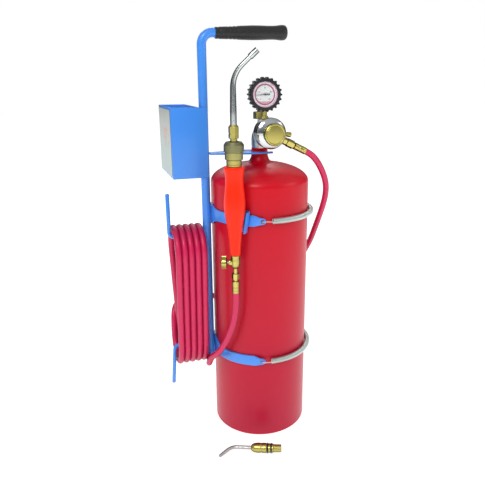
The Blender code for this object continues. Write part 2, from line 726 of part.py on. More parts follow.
def build_gauge(reg):
    """In the gauge's frame Z points out of the dial and Y up. The stem stays on the vertical."""
    height = GAUGE_Z - REG_Z
    gauge = frame("gauge_axis", (GAUGE_X, height, GAUGE_DEPTH), (0, GAUGE_TURN, 0), reg)
    upright = (radians(-90), 0, 0)
    half = CASE_LENGTH / 2
    hex_low = GAUGE_HEX_Z - GAUGE_Z
    hex_high = hex_low + GAUGE_HEX_H
    stem_top = -(BOURDON_R + BOURDON_TUBE_R + 0.0016)
    stem = turned("gauge_stem", disc(GAUGE_STEM_R, hex_low - GAUGE_THREAD, stem_top), BRASS,
                  gauge, (0, 0, 0), upright, SMALL)
    boolean(stem, prism_mesh("hex", 6, GAUGE_HEX_R, hex_low, hex_high), "UNION")

    case = turned("gauge_case", [
        (0, CASE_WALL - half), (CASE_R - CASE_WALL, CASE_WALL - half), (CASE_R - CASE_WALL, half),
        (CASE_R, half), (CASE_R, -half), (0, -half)], STEEL, gauge, sides=MIDDLE)
    drill(case, GAUGE_STEM_R + GAP, -CASE_R - 0.002, stem_top - 0.001, rotation=upright)

    count = BOOT_TEETH * 4
    tooth = (BOOT_ROOT_R, BOOT_TIP_R, BOOT_TIP_R, BOOT_ROOT_R)
    rim = [polar(tooth[index % 4], 2 * pi * index / count, 0)[:2] for index in range(count)]
    lip_front = half + GAP + BOOT_LIP_T
    boot_length = lip_front + half
    window = arc(BOOT_LIP_R, 0, 2 * pi * (1 - 1 / MIDDLE), MIDDLE - 1)
    boot = outline("gauge_boot", [rim, window], boot_length, RUBBER, gauge, (0, 0, (lip_front - half) / 2))
    boot = as_mesh(boot)
    drill(boot, CASE_R + GAP, -half - 0.001, half + GAP, (0, 0, 0), (0, 0, 0), MIDDLE)
    drill(boot, GAUGE_STEM_R + GAP, -BOOT_TIP_R - 0.001, -CASE_R + 0.001, (0, 0, 0), upright)

    dial_low = GAUGE_STEM_R + PLAY
    dial_high = dial_low + DIAL_T
    glass_r = CASE_R - CASE_WALL - GAP
    turned("gauge_dial", ring(0.0012, glass_r, dial_low, dial_high), WHITE, gauge, sides=MIDDLE)
    build_pointer(gauge, dial_high + 0.0012)
    turned("gauge_lens", disc(glass_r, half - LENS_T, half), CLEAR, gauge, sides=MIDDLE)
    coil = [(*point, -0.004) for point in arc(BOURDON_R, radians(-90), radians(160), 20)]
    wire("bourdon_tube", coil, BOURDON_TUBE_R, BRASS, gauge)


def build_pointer(gauge, low):
    """Needle that points left and a little down, on a spindle through the dial."""
    needle = outline("gauge_pointer", [[
        (-POINTER_TAIL, -0.0007), (0.0, -0.0009), (POINTER_LENGTH, -0.0002), (POINTER_LENGTH, 0.0002),
        (0.0, 0.0009), (-POINTER_TAIL, 0.0007)]], POINTER_T, BLACK, gauge,
        (0, 0, low + POINTER_T / 2), (0, 0, radians(184)))
    needle = as_mesh(needle)
    join_rod(needle, 0.0016, -POINTER_T / 2, POINTER_T / 2 + 0.0005, sides=12)
    join_rod(needle, 0.0008, -0.0060, POINTER_T / 2, sides=12)


def grip_height(x):
    """Height of the grip's axis, which rises a little away from the pole."""
    return POLE_TOP_Z + (x - POLE_X) * tan(GRIP_RISE)


def build_frame(cart):
    """The welded stand: pole, grip, tip box, neck plate, straps, cradle and hose hooks."""
    grip_end = GRIP_START_X + GRIP_LENGTH
    pole_end = grip_end - GRIP_CAP - GAP
    path = bent_rod((POLE_X, 0, POLE_BOTTOM_Z), (POLE_X, 0, POLE_TOP_Z), (pole_end, 0, grip_height(pole_end)),
                    POLE_BEND_R)
    pole = wire("pole", path, POLE_R, BLUE, cart, caps=False, resolution=4)
    wall = pole.modifiers.new("Wall", "SOLIDIFY")
    wall.thickness = POLE_WALL
    wall.offset = -1
    build_grip(cart)
    build_box(cart)
    build_neck_plate(cart)
    strap(cart, "upper_strap", UPPER_STRAP_Z, 0.006, 0.010)
    strap(cart, "lower_strap", LOWER_STRAP_Z, 0.0130, 0.0045)
    spring(cart, "upper_spring", UPPER_STRAP_Z)
    spring(cart, "lower_spring", LOWER_STRAP_Z)
    build_cradle(cart)
    hose_hook(cart, "upper_hose_hook", UPPER_HOOK_Z, UPPER_HOOK_END_Z)
    hose_hook(cart, "lower_hose_hook", LOWER_HOOK_Z, LOWER_HOOK_END_Z, LOWER_HOOK_LEAN)


def build_grip(cart):
    """Rubber grip pushed over the pole's end, with a thicker middle and a round knob at its end."""
    bore = POLE_R + GAP
    length = GRIP_LENGTH
    knob = length - GRIP_END_R
    profile = [
        (0, length), (GRIP_END_R * 0.60, length - 0.001), (GRIP_END_R * 0.90, length - 0.0045),
        (GRIP_END_R, knob), (GRIP_END_R * 0.93, knob - 0.0045), (GRIP_R, knob - 0.009),
        (GRIP_R, length * 0.74), (GRIP_MIDDLE_R, length * 0.58), (GRIP_MIDDLE_R, length * 0.40),
        (GRIP_R, length * 0.24), (GRIP_START_R, 0.008), (GRIP_START_R, 0),
        (bore, 0), (bore, length - GRIP_CAP), (0, length - GRIP_CAP)]
    turned("handle_grip", profile, RUBBER, cart, (GRIP_START_X, 0, grip_height(GRIP_START_X)),
           (0, radians(90) - GRIP_RISE, 0))


def build_box(cart):
    """Open-topped box beside the pole. Its front sheet runs on across the pole and is welded there."""
    right = POLE_X - POLE_R - GAP
    flange = POLE_X + POLE_R - FLANGE_INSET
    low, high = BOX_BOTTOM_Z, BOX_BOTTOM_Z + BOX_HEIGHT
    box = piece("tip_box", block_mesh(
        "tip_box", (BOX_LEFT_X, BOX_FRONT_Y, low), (right, BOX_BACK_Y, high)), BLUE, cart)
    boolean(box, block_mesh("flange", (right - SHEET / 2, BOX_FRONT_Y, low),
                            (flange, BOX_FRONT_Y + SHEET, high)), "UNION")
    boolean(box, block_mesh("inside", (BOX_LEFT_X + SHEET, BOX_FRONT_Y + SHEET, low + SHEET),
                            (right - SHEET, BOX_BACK_Y - SHEET, high + SHEET)), "DIFFERENCE")
    label_right = BOX_LEFT_X - GAP
    piece("box_label", block_mesh(
        "box_label", (label_right - LABEL_T, BOX_FRONT_Y + LABEL_MARGIN, low + LABEL_MARGIN),
        (label_right, BOX_BACK_Y - LABEL_MARGIN, high - LABEL_MARGIN)), SILVER, cart)


def build_neck_plate(cart):
    """Flat fork, open to the right, that slides round the cylinder's neck."""
    slot = NECK_R + FORK_PLAY
    start = POLE_X + POLE_R + GAP
    finger = PLATE_HALF_WIDTH - slot
    tip = PLATE_REACH - finger / 2
    upper = arc(finger / 2, radians(90), radians(-90), 6, (tip, slot + finger / 2))
    lower = arc(finger / 2, radians(90), radians(-90), 6, (tip, -slot - finger / 2))
    throat = arc(slot, radians(90), radians(270), 14)
    root = POLE_R
    waist = (-PLATE_HALF_WIDTH, PLATE_HALF_WIDTH)
    edge = [(start, -root), (start, root), waist, *upper, *throat, *lower, (-PLATE_HALF_WIDTH, -PLATE_HALF_WIDTH)]
    outline("neck_plate", [list(reversed(edge))], PLATE_T, BLUE, cart, (0, 0, PLATE_Z))


def strap_lift(angle):
    """How far the band stands off the cylinder, by its angle from the free side."""
    start = STRAP_END_ANGLE + radians(16)
    share = max(0.0, min(1.0, (start - angle) / radians(12)))
    return STRAP_END_LIFT * share * share * (3 - 2 * share)


def strap(cart, name, height, rise, drop):
    """C-shaped band, welded to the pole at its middle. It grows taller at the pole by rise and drop,
    and each end narrows to a tongue with a hole for the spring's hook."""
    span = degrees(pi - STRAP_END_ANGLE)
    steps = [0, 1.0, 2.4, 4.2, 6, 8, 10, 13, *range(16, int(span) - 1, 4), span]
    half = [STRAP_END_ANGLE + radians(step) for step in steps]
    angles = half + [2 * pi - angle for angle in reversed(half[:-1])]
    rows = 2

    def point(column, row):
        angle = angles[column]
        from_end = min(angle, 2 * pi - angle) - STRAP_END_ANGLE
        along = from_end * STRAP_MID_R
        reach = STRAP_END_HALF_WIDTH
        if along < reach:
            reach = max(0.0022, sqrt(max(0.0, along * (2 * reach - along))))
        grow = min(1.0, max(0.0, (from_end - radians(5)) / radians(7)))
        reach += (STRAP_HALF_WIDTH - STRAP_END_HALF_WIDTH) * grow
        flare = max(0.0, 1 - abs(angle - pi) / radians(20)) ** 1.6
        top = height + reach + rise * flare
        bottom = height - reach - drop * flare
        radius = STRAP_MID_R + strap_lift(min(angle, 2 * pi - angle))
        return Vector(polar(radius, angle, bottom + (top - bottom) * row / rows))

    band = sheet(name, len(angles) - 1, rows, point, STRAP_T, BLUE, cart)
    hole = STRAP_END_ANGLE + STRAP_END_HALF_WIDTH / STRAP_MID_R
    for angle in (hole, -hole):
        drill(band, HOOK_HOLE_R, TANK_R - 0.002, TANK_R + 0.012, (0, 0, height), (0, radians(90), angle))


def spring(cart, name, height):
    """Closed-coil spring round the right side, with a wire hook at each end through a strap's hole."""
    hole = STRAP_END_ANGLE + STRAP_END_HALF_WIDTH / STRAP_MID_R
    mid = STRAP_MID_R + STRAP_END_LIFT
    over = mid + STRAP_T / 2 + SPRING_WIRE_R + 0.0014
    under = mid - STRAP_T / 2 - SPRING_WIRE_R - 0.0004
    hook = [
        (under, hole - 0.0035 / mid), (under, hole - 0.0014 / mid), (mid - 0.0012, hole),
        (mid + 0.0012, hole), (over, hole - 0.0014 / mid), (over, hole - 0.0050 / mid),
    ]
    body_angle = hole - SPRING_LEAD / mid
    front = [polar(radius, -angle, height) for radius, angle in hook]
    turns = [2 * body_angle * step / SPRING_STEPS - body_angle for step in range(SPRING_STEPS + 1)]
    coil = [polar(SPRING_MID_R, turn, height) for turn in turns]
    back = [polar(radius, angle, height) for radius, angle in reversed(hook)]
    neck = SPRING_MID_R + (over - SPRING_MID_R) * 0.4
    lead = body_angle + 0.0012 / mid
    path = front + [polar(neck, -lead, height)] + coil + [polar(neck, lead, height)] + back
    thin = SPRING_WIRE_R / SPRING_R
    sizes = [thin] * (len(front) + 1) + [1] * len(coil) + [thin] * (len(back) + 1)
    wire(name, path, SPRING_R, ZINC, cart, sizes=sizes)


def build_cradle(cart):
    """U-shaped cradle, open to the front, whose wings follow the handle's taper."""
    outward = Vector((cos(TORCH_ANGLE), sin(TORCH_ANGLE), 0))
    along = Vector((-sin(TORCH_ANGLE), cos(TORCH_ANGLE), 0))
    back = TANK_R + GAP + STRAP_T + GAP + CRADLE_T / 2
    corner = 0.0025
    rows = 4

    def point(column, row):
        height = CRADLE_BOTTOM_Z + (CRADLE_TOP_Z - CRADLE_BOTTOM_Z) * row / rows
        side = handle_radius(height - HANDLE_BOTTOM_Z) + PLAY + CRADLE_T / 2
        shape = [
            (CRADLE_REACH, -side), (back + corner, -side), (back + corner * 0.3, -side + corner * 0.3),
            (back, -side + corner), (back, 0), (back, side - corner),
            (back + corner * 0.3, side - corner * 0.3), (back + corner, side), (CRADLE_REACH, side)]
        away, across = shape[column]
        return outward * away + along * across + Vector((0, 0, height))

    sheet("torch_cradle", 8, rows, point, CRADLE_T, BLUE, cart)


def hose_hook(cart, name, height, end_height, lean=0.0):
    """Rod welded to the pole's left side and bent up or down at its end, where it may lean out."""
    start = (POLE_X - POLE_R - GAP, 0, height)
    path = bent_rod(start, (ROD_TIP_X, 0, height), (ROD_TIP_X - lean, 0, end_height), ROD_BEND_R)
    wire(name, path, ROD_R, BLUE, cart)


def build_torch(torch):
    handle_top = HANDLE_BOTTOM_Z + HANDLE_PROFILE[-1][0]
    outer = [(radius, HANDLE_BOTTOM_Z + height) for height, radius in reversed(HANDLE_PROFILE)]
    inner = [(radius - HANDLE_WALL, HANDLE_BOTTOM_Z + height) for height, radius in HANDLE_PROFILE[1:-1]]
    shell = [(HANDLE_BORE_R, handle_top), *outer, (HANDLE_BORE_R, HANDLE_BOTTOM_Z),
             (HANDLE_BORE_R, HANDLE_BOTTOM_Z + 0.008), *inner, (HANDLE_BORE_R, handle_top - 0.004)]
    turned("torch_handle", shell, ORANGE, torch)

    socket_low = handle_top + GAP
    tube_low = HANDLE_BOTTOM_Z + GAP
    turned("torch_gas_tube", ring(GAS_TUBE_BORE_R, GAS_TUBE_R, tube_low, handle_top), BRASS, torch, sides=SMALL)
    step_top = socket_low + SOCKET_STEP
    barrel_top = step_top + SOCKET_BARREL
    turned("torch_socket", [
        (SOCKET_BORE_R, barrel_top), (SOCKET_BARREL_R, barrel_top), (SOCKET_BARREL_R, step_top),
        (SOCKET_R, step_top), (SOCKET_R, socket_low), (GAS_TUBE_BORE_R, socket_low),
        (GAS_TUBE_BORE_R, socket_low + 0.004), (SOCKET_BORE_R, socket_low + 0.004)], BRASS, torch)

    collar_low = step_top + GAP
    collar_mid = collar_low + COLLAR_LOW
    collar_top = collar_mid + COLLAR_HIGH
    shoulder = collar_low + COLLAR_SKIRT
    turned("release_collar", [
        (SOCKET_BARREL_R + PLAY, collar_top), (COLLAR_HIGH_R - 0.0012, collar_top),
        (COLLAR_HIGH_R, collar_top - 0.0012), (COLLAR_HIGH_R, collar_mid + 0.001),
        (COLLAR_LOW_R, collar_mid), (COLLAR_LOW_R, collar_low), (SOCKET_R + PLAY, collar_low),
        (SOCKET_R + PLAY, shoulder), (SOCKET_BARREL_R + PLAY, shoulder)], BRASS, torch)
    coil_r = (SOCKET_R + SOCKET_BARREL_R) / 2
    coil_low = step_top + GAP + COLLAR_SPRING_WIRE_R
    coil_high = shoulder - GAP - COLLAR_SPRING_WIRE_R
    wire("collar_spring", helix(coil_r, coil_low, coil_high, COLLAR_SPRING_TURNS), COLLAR_SPRING_WIRE_R,
         STEEL, torch, resolution=1)
    build_torch_valve(torch)
    build_tip(torch, collar_top + TIP_GAP, barrel_top)


def build_torch_valve(torch):
    top = HANDLE_BOTTOM_Z - GAP
    bottom = top - TORCH_VALVE_H
    left = (0, radians(-90), TIP_HEADING)
    at_knob = (0, 0, TORCH_VALVE_KNOB_Z)
    body = turned("torch_valve_body", [
        (0, top), (TORCH_VALVE_R - 0.001, top), (TORCH_VALVE_R, top - 0.001),
        (TORCH_VALVE_R, bottom + 0.003), (TORCH_VALVE_R * 0.7, bottom), (0, bottom)], BRASS, torch)
    join_rod(body, TORCH_BOSS_R, 0.001, TORCH_BOSS_REACH, at_knob, left)
    join_rod(body, TAIL_R, bottom - TAIL_LENGTH, bottom + 0.001)
    drill(body, GAS_TUBE_BORE_R, TORCH_VALVE_KNOB_Z + 0.001, top + 0.001)
    drill(body, TUBE_BORE_R, bottom - TAIL_LENGTH - 0.001, TORCH_VALVE_KNOB_Z, sides=8)
    drill(body, NEEDLE_R + PLAY, -0.003, TORCH_BOSS_REACH + 0.001, at_knob, left, 12)

    knob_end = TORCH_KNOB_BACK + TORCH_KNOB_T
    turned("torch_valve_stem", disc(NEEDLE_R, -0.001, knob_end - 0.0015), STEEL, torch, at_knob, left, 12)
    turned("torch_valve_knob", [
        (0, knob_end), (TORCH_KNOB_R * 0.55, knob_end), (TORCH_KNOB_R - 0.001, knob_end - 0.0007),
        (TORCH_KNOB_R, knob_end - 0.0017), (TORCH_KNOB_R, TORCH_KNOB_BACK + 0.0022),
        (TORCH_KNOB_R * 0.6, TORCH_KNOB_BACK), (NEEDLE_R + GAP, TORCH_KNOB_BACK),
        (NEEDLE_R + GAP, knob_end - 0.0015 + GAP), (0, knob_end - 0.0015 + GAP)], BRASS, torch, at_knob, left)

    nut_low = TORCH_NUT_TOP_Z - TORCH_NUT_H
    nut = hexagon("torch_hose_nut", TORCH_NUT_R, nut_low, TORCH_NUT_TOP_Z, BRASS, torch)
    drill(nut, TAIL_R + GAP, nut_low - 0.001, TORCH_NUT_TOP_Z + 0.001)
    start = nut_low - GAP
    ferrule(torch, "torch_ferrule", -start, FERRULE_LENGTH, TAIL_LENGTH - bottom, rotation=(radians(180), 0, 0))


def tip_path(straight, bend_r, bend, run, steps=9):
    """Straight up, then bent towards +X, then straight on; also where the last straight starts."""
    arc_points = [
        Vector((bend_r * (1 - cos(bend * step / steps)), 0, straight + bend_r * sin(bend * step / steps)))
        for step in range(steps + 1)]
    ahead = Vector((sin(bend), 0, cos(bend)))
    return [Vector((0, 0, 0)), *arc_points, arc_points[-1] + ahead * run], arc_points[-1], ahead


def build_tip(torch, hex_low, barrel_top):
    """Bent nozzle that turns in the torch's socket. Its axis is the torch's."""
    stem_low = hex_low - TIP_STEM
    body = hexagon("tip_hex", TIP_HEX_R, hex_low, hex_low + TIP_HEX_H, BRASS, torch)
    join_rod(body, TIP_STEM_R, stem_low, hex_low + 0.001)
    bore = TIP_TUBE_R + GAP
    drill(body, bore, hex_low + TIP_HEX_H - 0.006, hex_low + TIP_HEX_H + 0.001)
    drill(body, TUBE_BORE_R, stem_low - 0.001, hex_low + TIP_HEX_H, sides=8)

    tube_low = hex_low + TIP_HEX_H - 0.006 + GAP
    path, bend_end, ahead = tip_path(TIP_STRAIGHT, TIP_BEND_R, TIP_BEND, TIP_END_RUN)
    sizes = [1 - (1 - TIP_NOZZLE_R / TIP_TUBE_R) * index / (len(path) - 1) for index in range(len(path))]
    place = (0, 0, tube_low)
    heading = (0, 0, TIP_HEADING)
    wire("tip_tube", path, TIP_TUBE_R, STEEL, torch, sizes=sizes, location=place, rotation=heading, resolution=3)
    sleeve_start = bend_end + ahead * (TIP_END_RUN + GAP)
    sleeve = turned("tip_sleeve", ring(TUBE_BORE_R, TIP_SLEEVE_R, 0, TIP_SLEEVE), STEEL, torch, sides=SMALL)
    turn = Matrix.Rotation(TIP_HEADING, 4, "Z")
    spot = Matrix.Translation(place) @ turn @ Matrix.Translation(sleeve_start)
    sleeve.matrix_local = spot @ Matrix.Rotation(TIP_BEND, 4, "Y")


def build_spare_tip(cart):
    """Spare tip lying on the floor on its two seal rings' body; its own Z axis is its length."""
    groove = SPARE_BODY_R - ORING_R * 0.55
    seal_r = groove + GAP
    flat = (Matrix.Translation((SPARE_X, SPARE_Y, seal_r + ORING_R))
            @ Matrix.Rotation(SPARE_HEADING, 4, "Z") @ Matrix.Rotation(radians(-90), 4, "Y"))
    spare = frame("spare_axis", (0, 0, 0), parent=cart)
    spare.matrix_local = flat
    rings = [-SPARE_BODY * 0.28 + index * -ORING_PITCH for index in range(2)]
    profile = [(0, SPARE_BODY / 2), (SPARE_TUBE_R + 0.0012, SPARE_BODY / 2),
               (SPARE_BODY_R * 0.8, SPARE_BODY / 2 - 0.002), (SPARE_BODY_R, SPARE_BODY / 2 - 0.006)]
    for height in rings:
        profile += [(SPARE_BODY_R, height + ORING_R + GAP), (groove - ORING_R, height + ORING_R + GAP),
                    (groove - ORING_R, height - ORING_R - GAP), (SPARE_BODY_R, height - ORING_R - GAP)]
    tail = -SPARE_BODY / 2 - SPARE_END
    profile += [(SPARE_BODY_R, -SPARE_BODY / 2 - 0.002), (SPARE_END_R, -SPARE_BODY / 2 - 0.002),
                (SPARE_END_R, tail), (TUBE_BORE_R, tail), (TUBE_BORE_R, tail + 0.012), (0, tail + 0.012)]
    body = turned("spare_tip_body", profile, BRASS, spare)
    socket = SPARE_BODY / 2 - 0.008
    drill(body, SPARE_TUBE_R + GAP, socket, SPARE_BODY / 2 + 0.001)
    for number, height in enumerate(rings, 1):
        section = [(seal_r + ORING_R * cos(turn), height + ORING_R * sin(turn))
                   for turn in (-2 * pi * step / 8 for step in range(8))]
        turned(f"spare_tip_seal_{number}", section, RUBBER, spare)
    straight = SPARE_RUN + 0.008
    path, _, _ = tip_path(straight, SPARE_BEND_R, SPARE_BEND, SPARE_NOZZLE)
    wire("spare_tip_tube", path, SPARE_TUBE_R, STEEL, spare, location=(0, 0, socket + GAP),
         rotation=(0, 0, SPARE_ROLL))


def build_hose(cart):
    """Supply hose: from the regulator behind the cylinder, the hank on the hooks, and up to the torch."""
    ferrule_end = OUTLET_HEX_END + OUTLET_NUT_LENGTH + GAP + FERRULE_LENGTH
    down = Vector((cos(OUTLET_TILT), 0, -sin(OUTLET_TILT)))
    outlet = Vector((0, -OUTLET_DEPTH, REG_Z))
    start = outlet + down * (ferrule_end + GAP)
    run = smooth_path([start, start + down * 0.012, *REGULATOR_RUN, REGULATOR_RUN_END], HOSE_STEP)
    wire("hose_regulator_run", run, HOSE_R, HOSE_RED, cart)

    torch_x = TORCH_DISTANCE * cos(TORCH_ANGLE)
    torch_y = TORCH_DISTANCE * sin(TORCH_ANGLE)
    low = TORCH_NUT_TOP_Z - TORCH_NUT_H - GAP - FERRULE_LENGTH - GAP
    top = Vector((torch_x, torch_y, low))
    run = smooth_path([top, top - Vector((0, 0, 0.010)), *TORCH_RUN, TORCH_RUN_END], HOSE_STEP)
    wire("hose_torch_run", run, HOSE_R, HOSE_RED, cart)

    centre = (HANK_FRONT_Y + HANK_BACK_Y) / 2
    half_depth = (HANK_BACK_Y - HANK_FRONT_Y) / 2
    rings = []
    for inset in (0, HANK_WALL):
        high = arc(half_depth - inset, 0, pi, 12, (centre, HANK_TOP_Z - half_depth))
        low = arc(half_depth - inset, pi, 2 * pi, 12, (centre, HANK_BOTTOM_Z + half_depth))
        rings.append(high + low)
    middle = (HANK_LEFT_X + HANK_RIGHT_X) / 2
    outline("hose_hank", rings, HANK_RIGHT_X - HANK_LEFT_X, HOSE_RED, cart, (middle, 0, 0),
            (radians(90), 0, radians(90)))


clear_scene()
PARTS = collection("torch_stand")
TOOLS = collection("cutters")
GUIDES = collection("guides")
CART = frame("cart_axis", (FRAME_X, FRAME_Y, 0))
TORCH = frame("torch_axis", polar(TORCH_DISTANCE, TORCH_ANGLE, 0), parent=CART)
build_cylinder(CART)
build_cylinder_valve(CART)
build_regulator(CART)
build_frame(CART)
build_torch(TORCH)
build_spare_tip(CART)
build_hose(CART)
bpy.context.view_layer.update()
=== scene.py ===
import json
from math import ceil, cos, pi, radians, sin, tan

import bmesh
import bpy
from mathutils import Matrix, Vector

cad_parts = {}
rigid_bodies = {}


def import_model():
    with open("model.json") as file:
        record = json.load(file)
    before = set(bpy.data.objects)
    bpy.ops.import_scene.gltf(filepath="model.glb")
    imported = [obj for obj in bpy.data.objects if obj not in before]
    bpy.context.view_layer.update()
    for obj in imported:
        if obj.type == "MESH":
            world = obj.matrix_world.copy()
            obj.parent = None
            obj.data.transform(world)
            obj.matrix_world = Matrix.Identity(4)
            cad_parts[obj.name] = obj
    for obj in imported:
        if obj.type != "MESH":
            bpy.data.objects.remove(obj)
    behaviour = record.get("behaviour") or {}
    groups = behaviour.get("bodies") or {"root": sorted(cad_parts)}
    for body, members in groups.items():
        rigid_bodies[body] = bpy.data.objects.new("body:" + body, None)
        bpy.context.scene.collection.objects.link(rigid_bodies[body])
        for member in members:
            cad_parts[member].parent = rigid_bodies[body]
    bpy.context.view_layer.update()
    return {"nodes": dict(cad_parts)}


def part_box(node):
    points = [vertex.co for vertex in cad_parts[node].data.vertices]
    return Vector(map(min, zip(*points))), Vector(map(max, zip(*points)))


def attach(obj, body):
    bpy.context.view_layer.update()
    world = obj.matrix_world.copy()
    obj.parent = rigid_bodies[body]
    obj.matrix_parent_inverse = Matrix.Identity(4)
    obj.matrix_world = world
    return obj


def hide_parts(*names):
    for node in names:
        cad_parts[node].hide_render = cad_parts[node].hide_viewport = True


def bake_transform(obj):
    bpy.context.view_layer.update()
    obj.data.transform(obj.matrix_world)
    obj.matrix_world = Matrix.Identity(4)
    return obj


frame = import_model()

# The room: a white floor under a white sky, one large soft lamp at the upper left and two weaker
# ones. What the metal reflects is a sky that darkens towards the horizon.
scene = bpy.context.scene
scene.view_settings.view_transform = "Standard"


def placed(name, data):
    """An object that shows this data, put in the scene."""
    made = bpy.data.objects.new(name, data)
    scene.collection.objects.link(made)
    return made


def node_in(tree, kind, inputs=(), **settings):
    """A new node of the tree. Its settings are made first. Its inputs are given by name or number,
    each as a socket or a Value to link, or as a plain value."""
    node = tree.nodes.new(kind)
    for name, value in settings.items():
        setattr(node, name, value)
    for name, value in dict(inputs).items():
        source = getattr(value, "socket", value)
        if isinstance(source, bpy.types.NodeSocket):
            tree.links.new(source, node.inputs[name])
        else:
            node.inputs[name].default_value = value
    return node


world = bpy.data.worlds.new("room")
scene.world = world
world.use_nodes = True
sky = world.node_tree
sky.nodes.clear()
where = node_in(sky, "ShaderNodeTexCoord")
height = node_in(sky, "ShaderNodeSeparateXYZ", {0: where.outputs["Generated"]})
shades = node_in(sky, "ShaderNodeValToRGB", {0: height.outputs["Z"]})
for stop, position, grey in zip(shades.color_ramp.elements, (0.0, 0.6),
                                ((0.05, 0.05, 0.06, 1), (0.62, 0.62, 0.62, 1))):
    stop.position = position
    stop.color = grey
rays = node_in(sky, "ShaderNodeLightPath")
seen = node_in(sky, "ShaderNodeMix", {
    "Factor": rays.outputs["Is Camera Ray"], "A": shades.outputs["Color"], "B": (1, 1, 1, 1)},
    data_type="RGBA")
glow = node_in(sky, "ShaderNodeBackground", {"Color": seen.outputs["Result"], "Strength": 1.0})
node_in(sky, "ShaderNodeOutputWorld", {0: glow.outputs[0]})

camera = placed("camera", bpy.data.cameras.new("camera"))
camera.location = (-0.23385, -0.78932, 0.584)
camera.rotation_euler = (radians(72.8), 0, radians(-18.5))
camera.data.lens = 39.12
camera.data.sensor_width = 36
camera.data.shift_x = -0.035
camera.data.clip_start = 0.01
scene.camera = camera

for name, spot, size, power in (
    ("key_lamp", (-1.1, -1.5, 1.9), 0.9, 22),
    ("fill_lamp", (1.7, -0.9, 1.1), 1.0, 7),
    ("back_lamp", (0.3, 1.8, 1.7), 1.2, 10),
):
    lamp = placed(name, bpy.data.lights.new(name, "AREA"))
    lamp.location = spot
    lamp.rotation_euler = (Vector((0, 0, 0.3)) - Vector(spot)).to_track_quat("-Z", "Y").to_euler()
    lamp.data.size = size
    lamp.data.energy = power

floor_mesh = bpy.data.meshes.new("floor")
floor_mesh.from_pydata([(-9, -9, 0), (9, -9, 0), (9, 9, 0), (-9, 9, 0)], [], [(0, 1, 2, 3)])
floor = placed("floor", floor_mesh)
paper = bpy.data.materials.new("white floor")
paper.use_nodes = True
white = paper.node_tree.nodes["Principled BSDF"]
for name, value in (("Base Color", (0.93, 0.93, 0.93, 1)), ("Roughness", 0.9),
                    ("Specular IOR Level", 0.1), ("Emission Color", (1, 1, 1, 1)),
                    ("Emission Strength", 0.6)):
    white.inputs[name].default_value = value
floor_mesh.materials.append(paper)


# The hose: red rubber, one length of about twelve feet. It leaves the regulator's outlet, hangs
# past the cylinder's right side, passes behind it, is wound five turns over the two hooks of the
# stand, and comes out under them to the torch. Its last stretch is a piece of its own.
class Value:
    """One output of a node, with arithmetic that adds Math nodes to the node's tree."""

    def __init__(self, tree, socket):
        self.tree = tree
        self.socket = socket

    def math(self, operation, *others, swap=False):
        values = (*others, self) if swap else (self, *others)
        node = node_in(self.tree, "ShaderNodeMath", enumerate(values), operation=operation)
        return Value(self.tree, node.outputs[0])

    def __add__(self, other):
        return self.math("ADD", other)

    def __radd__(self, other):
        return self.math("ADD", other, swap=True)

    def __sub__(self, other):
        return self.math("SUBTRACT", other)

    def __rsub__(self, other):
        return self.math("SUBTRACT", other, swap=True)

    def __mul__(self, other):
        return self.math("MULTIPLY", other)

    def __rmul__(self, other):
        return self.math("MULTIPLY", other, swap=True)

    def __truediv__(self, other):
        return self.math("DIVIDE", other)

    def __rtruediv__(self, other):
        return self.math("DIVIDE", other, swap=True)


class Finish:
    """A surface: a Principled shader, with nodes that vary its colour, roughness and relief."""

    def __init__(self, name, colour, roughness, metallic=0.0, coat=0.0):
        self.material = bpy.data.materials.new(name)
        self.material.use_nodes = True
        self.tree = self.material.node_tree
        self.shader = self.tree.nodes["Principled BSDF"]
        self.colour = tuple(self.linear(part) for part in colour) + (1.0,)
        self.set("Base Color", self.colour)
        self.set("Roughness", roughness)
        self.set("Metallic", metallic)
        self.set("Coat Weight", coat)
        self.set("Coat Roughness", 0.12)

    @staticmethod
    def linear(part):
        """A colour part from 0 to 255, as a display shows it, turned into light."""
        share = part / 255
        return share / 12.92 if share <= 0.04045 else ((share + 0.055) / 1.055) ** 2.4

    def set(self, name, value):
        self.shader.inputs[name].default_value = value

    def node(self, kind, output=0, inputs=(), **settings):
        """One output of a new node of this kind."""
        node = node_in(self.tree, "ShaderNode" + kind, inputs, **settings)
        return Value(self.tree, node.outputs[output])

    def place(self):
        return self.node("TexCoord", "Object")

    def noise(self, scale, detail=2.0):
        return self.node("TexNoise", inputs={
            "Vector": self.place(), "Scale": scale, "Detail": detail})

    def feed(self, name, value):
        self.tree.links.new(value.socket, self.shader.inputs[name])
        return self

    def shade(self, amount, other):
        """The base colour runs to another colour as amount runs from 0 to 1."""
        far = tuple(self.linear(part) for part in other) + (1.0,)
        self.colour = self.node("Mix", 2, {0: amount, 6: self.colour, 7: far}, data_type="RGBA")
        return self.feed("Base Color", self.colour)

    def painted_dark_rims(self, other, share):
        """Painted reflection and shade: darker colour where the surface turns from the eye."""
        facing = self.node("LayerWeight", "Facing", {"Blend": 0.5})
        return self.shade(facing * share, other)

    def relief(self, height, depth):
        bump = self.node("Bump", inputs={"Height": height, "Distance": depth, "Strength": 1.0})
        return self.feed("Normal", bump)


def spline(points, steps=8):
    """A smooth line through the points, with this many short steps between two of them."""
    points = [Vector(point) for point in points]
    ends = [2 * points[0] - points[1], *points, 2 * points[-1] - points[-2]]
    line = []
    for before, near, far, after in zip(ends, ends[1:], ends[2:], ends[3:]):
        for step in range(steps):
            t = step / steps
            line.append(0.5 * (2 * near + (far - before) * t
                               + (2 * before - 5 * near + 4 * far - after) * t * t
                               + (3 * near - before - 3 * far + after) * t ** 3))
    return line + [points[-1]]


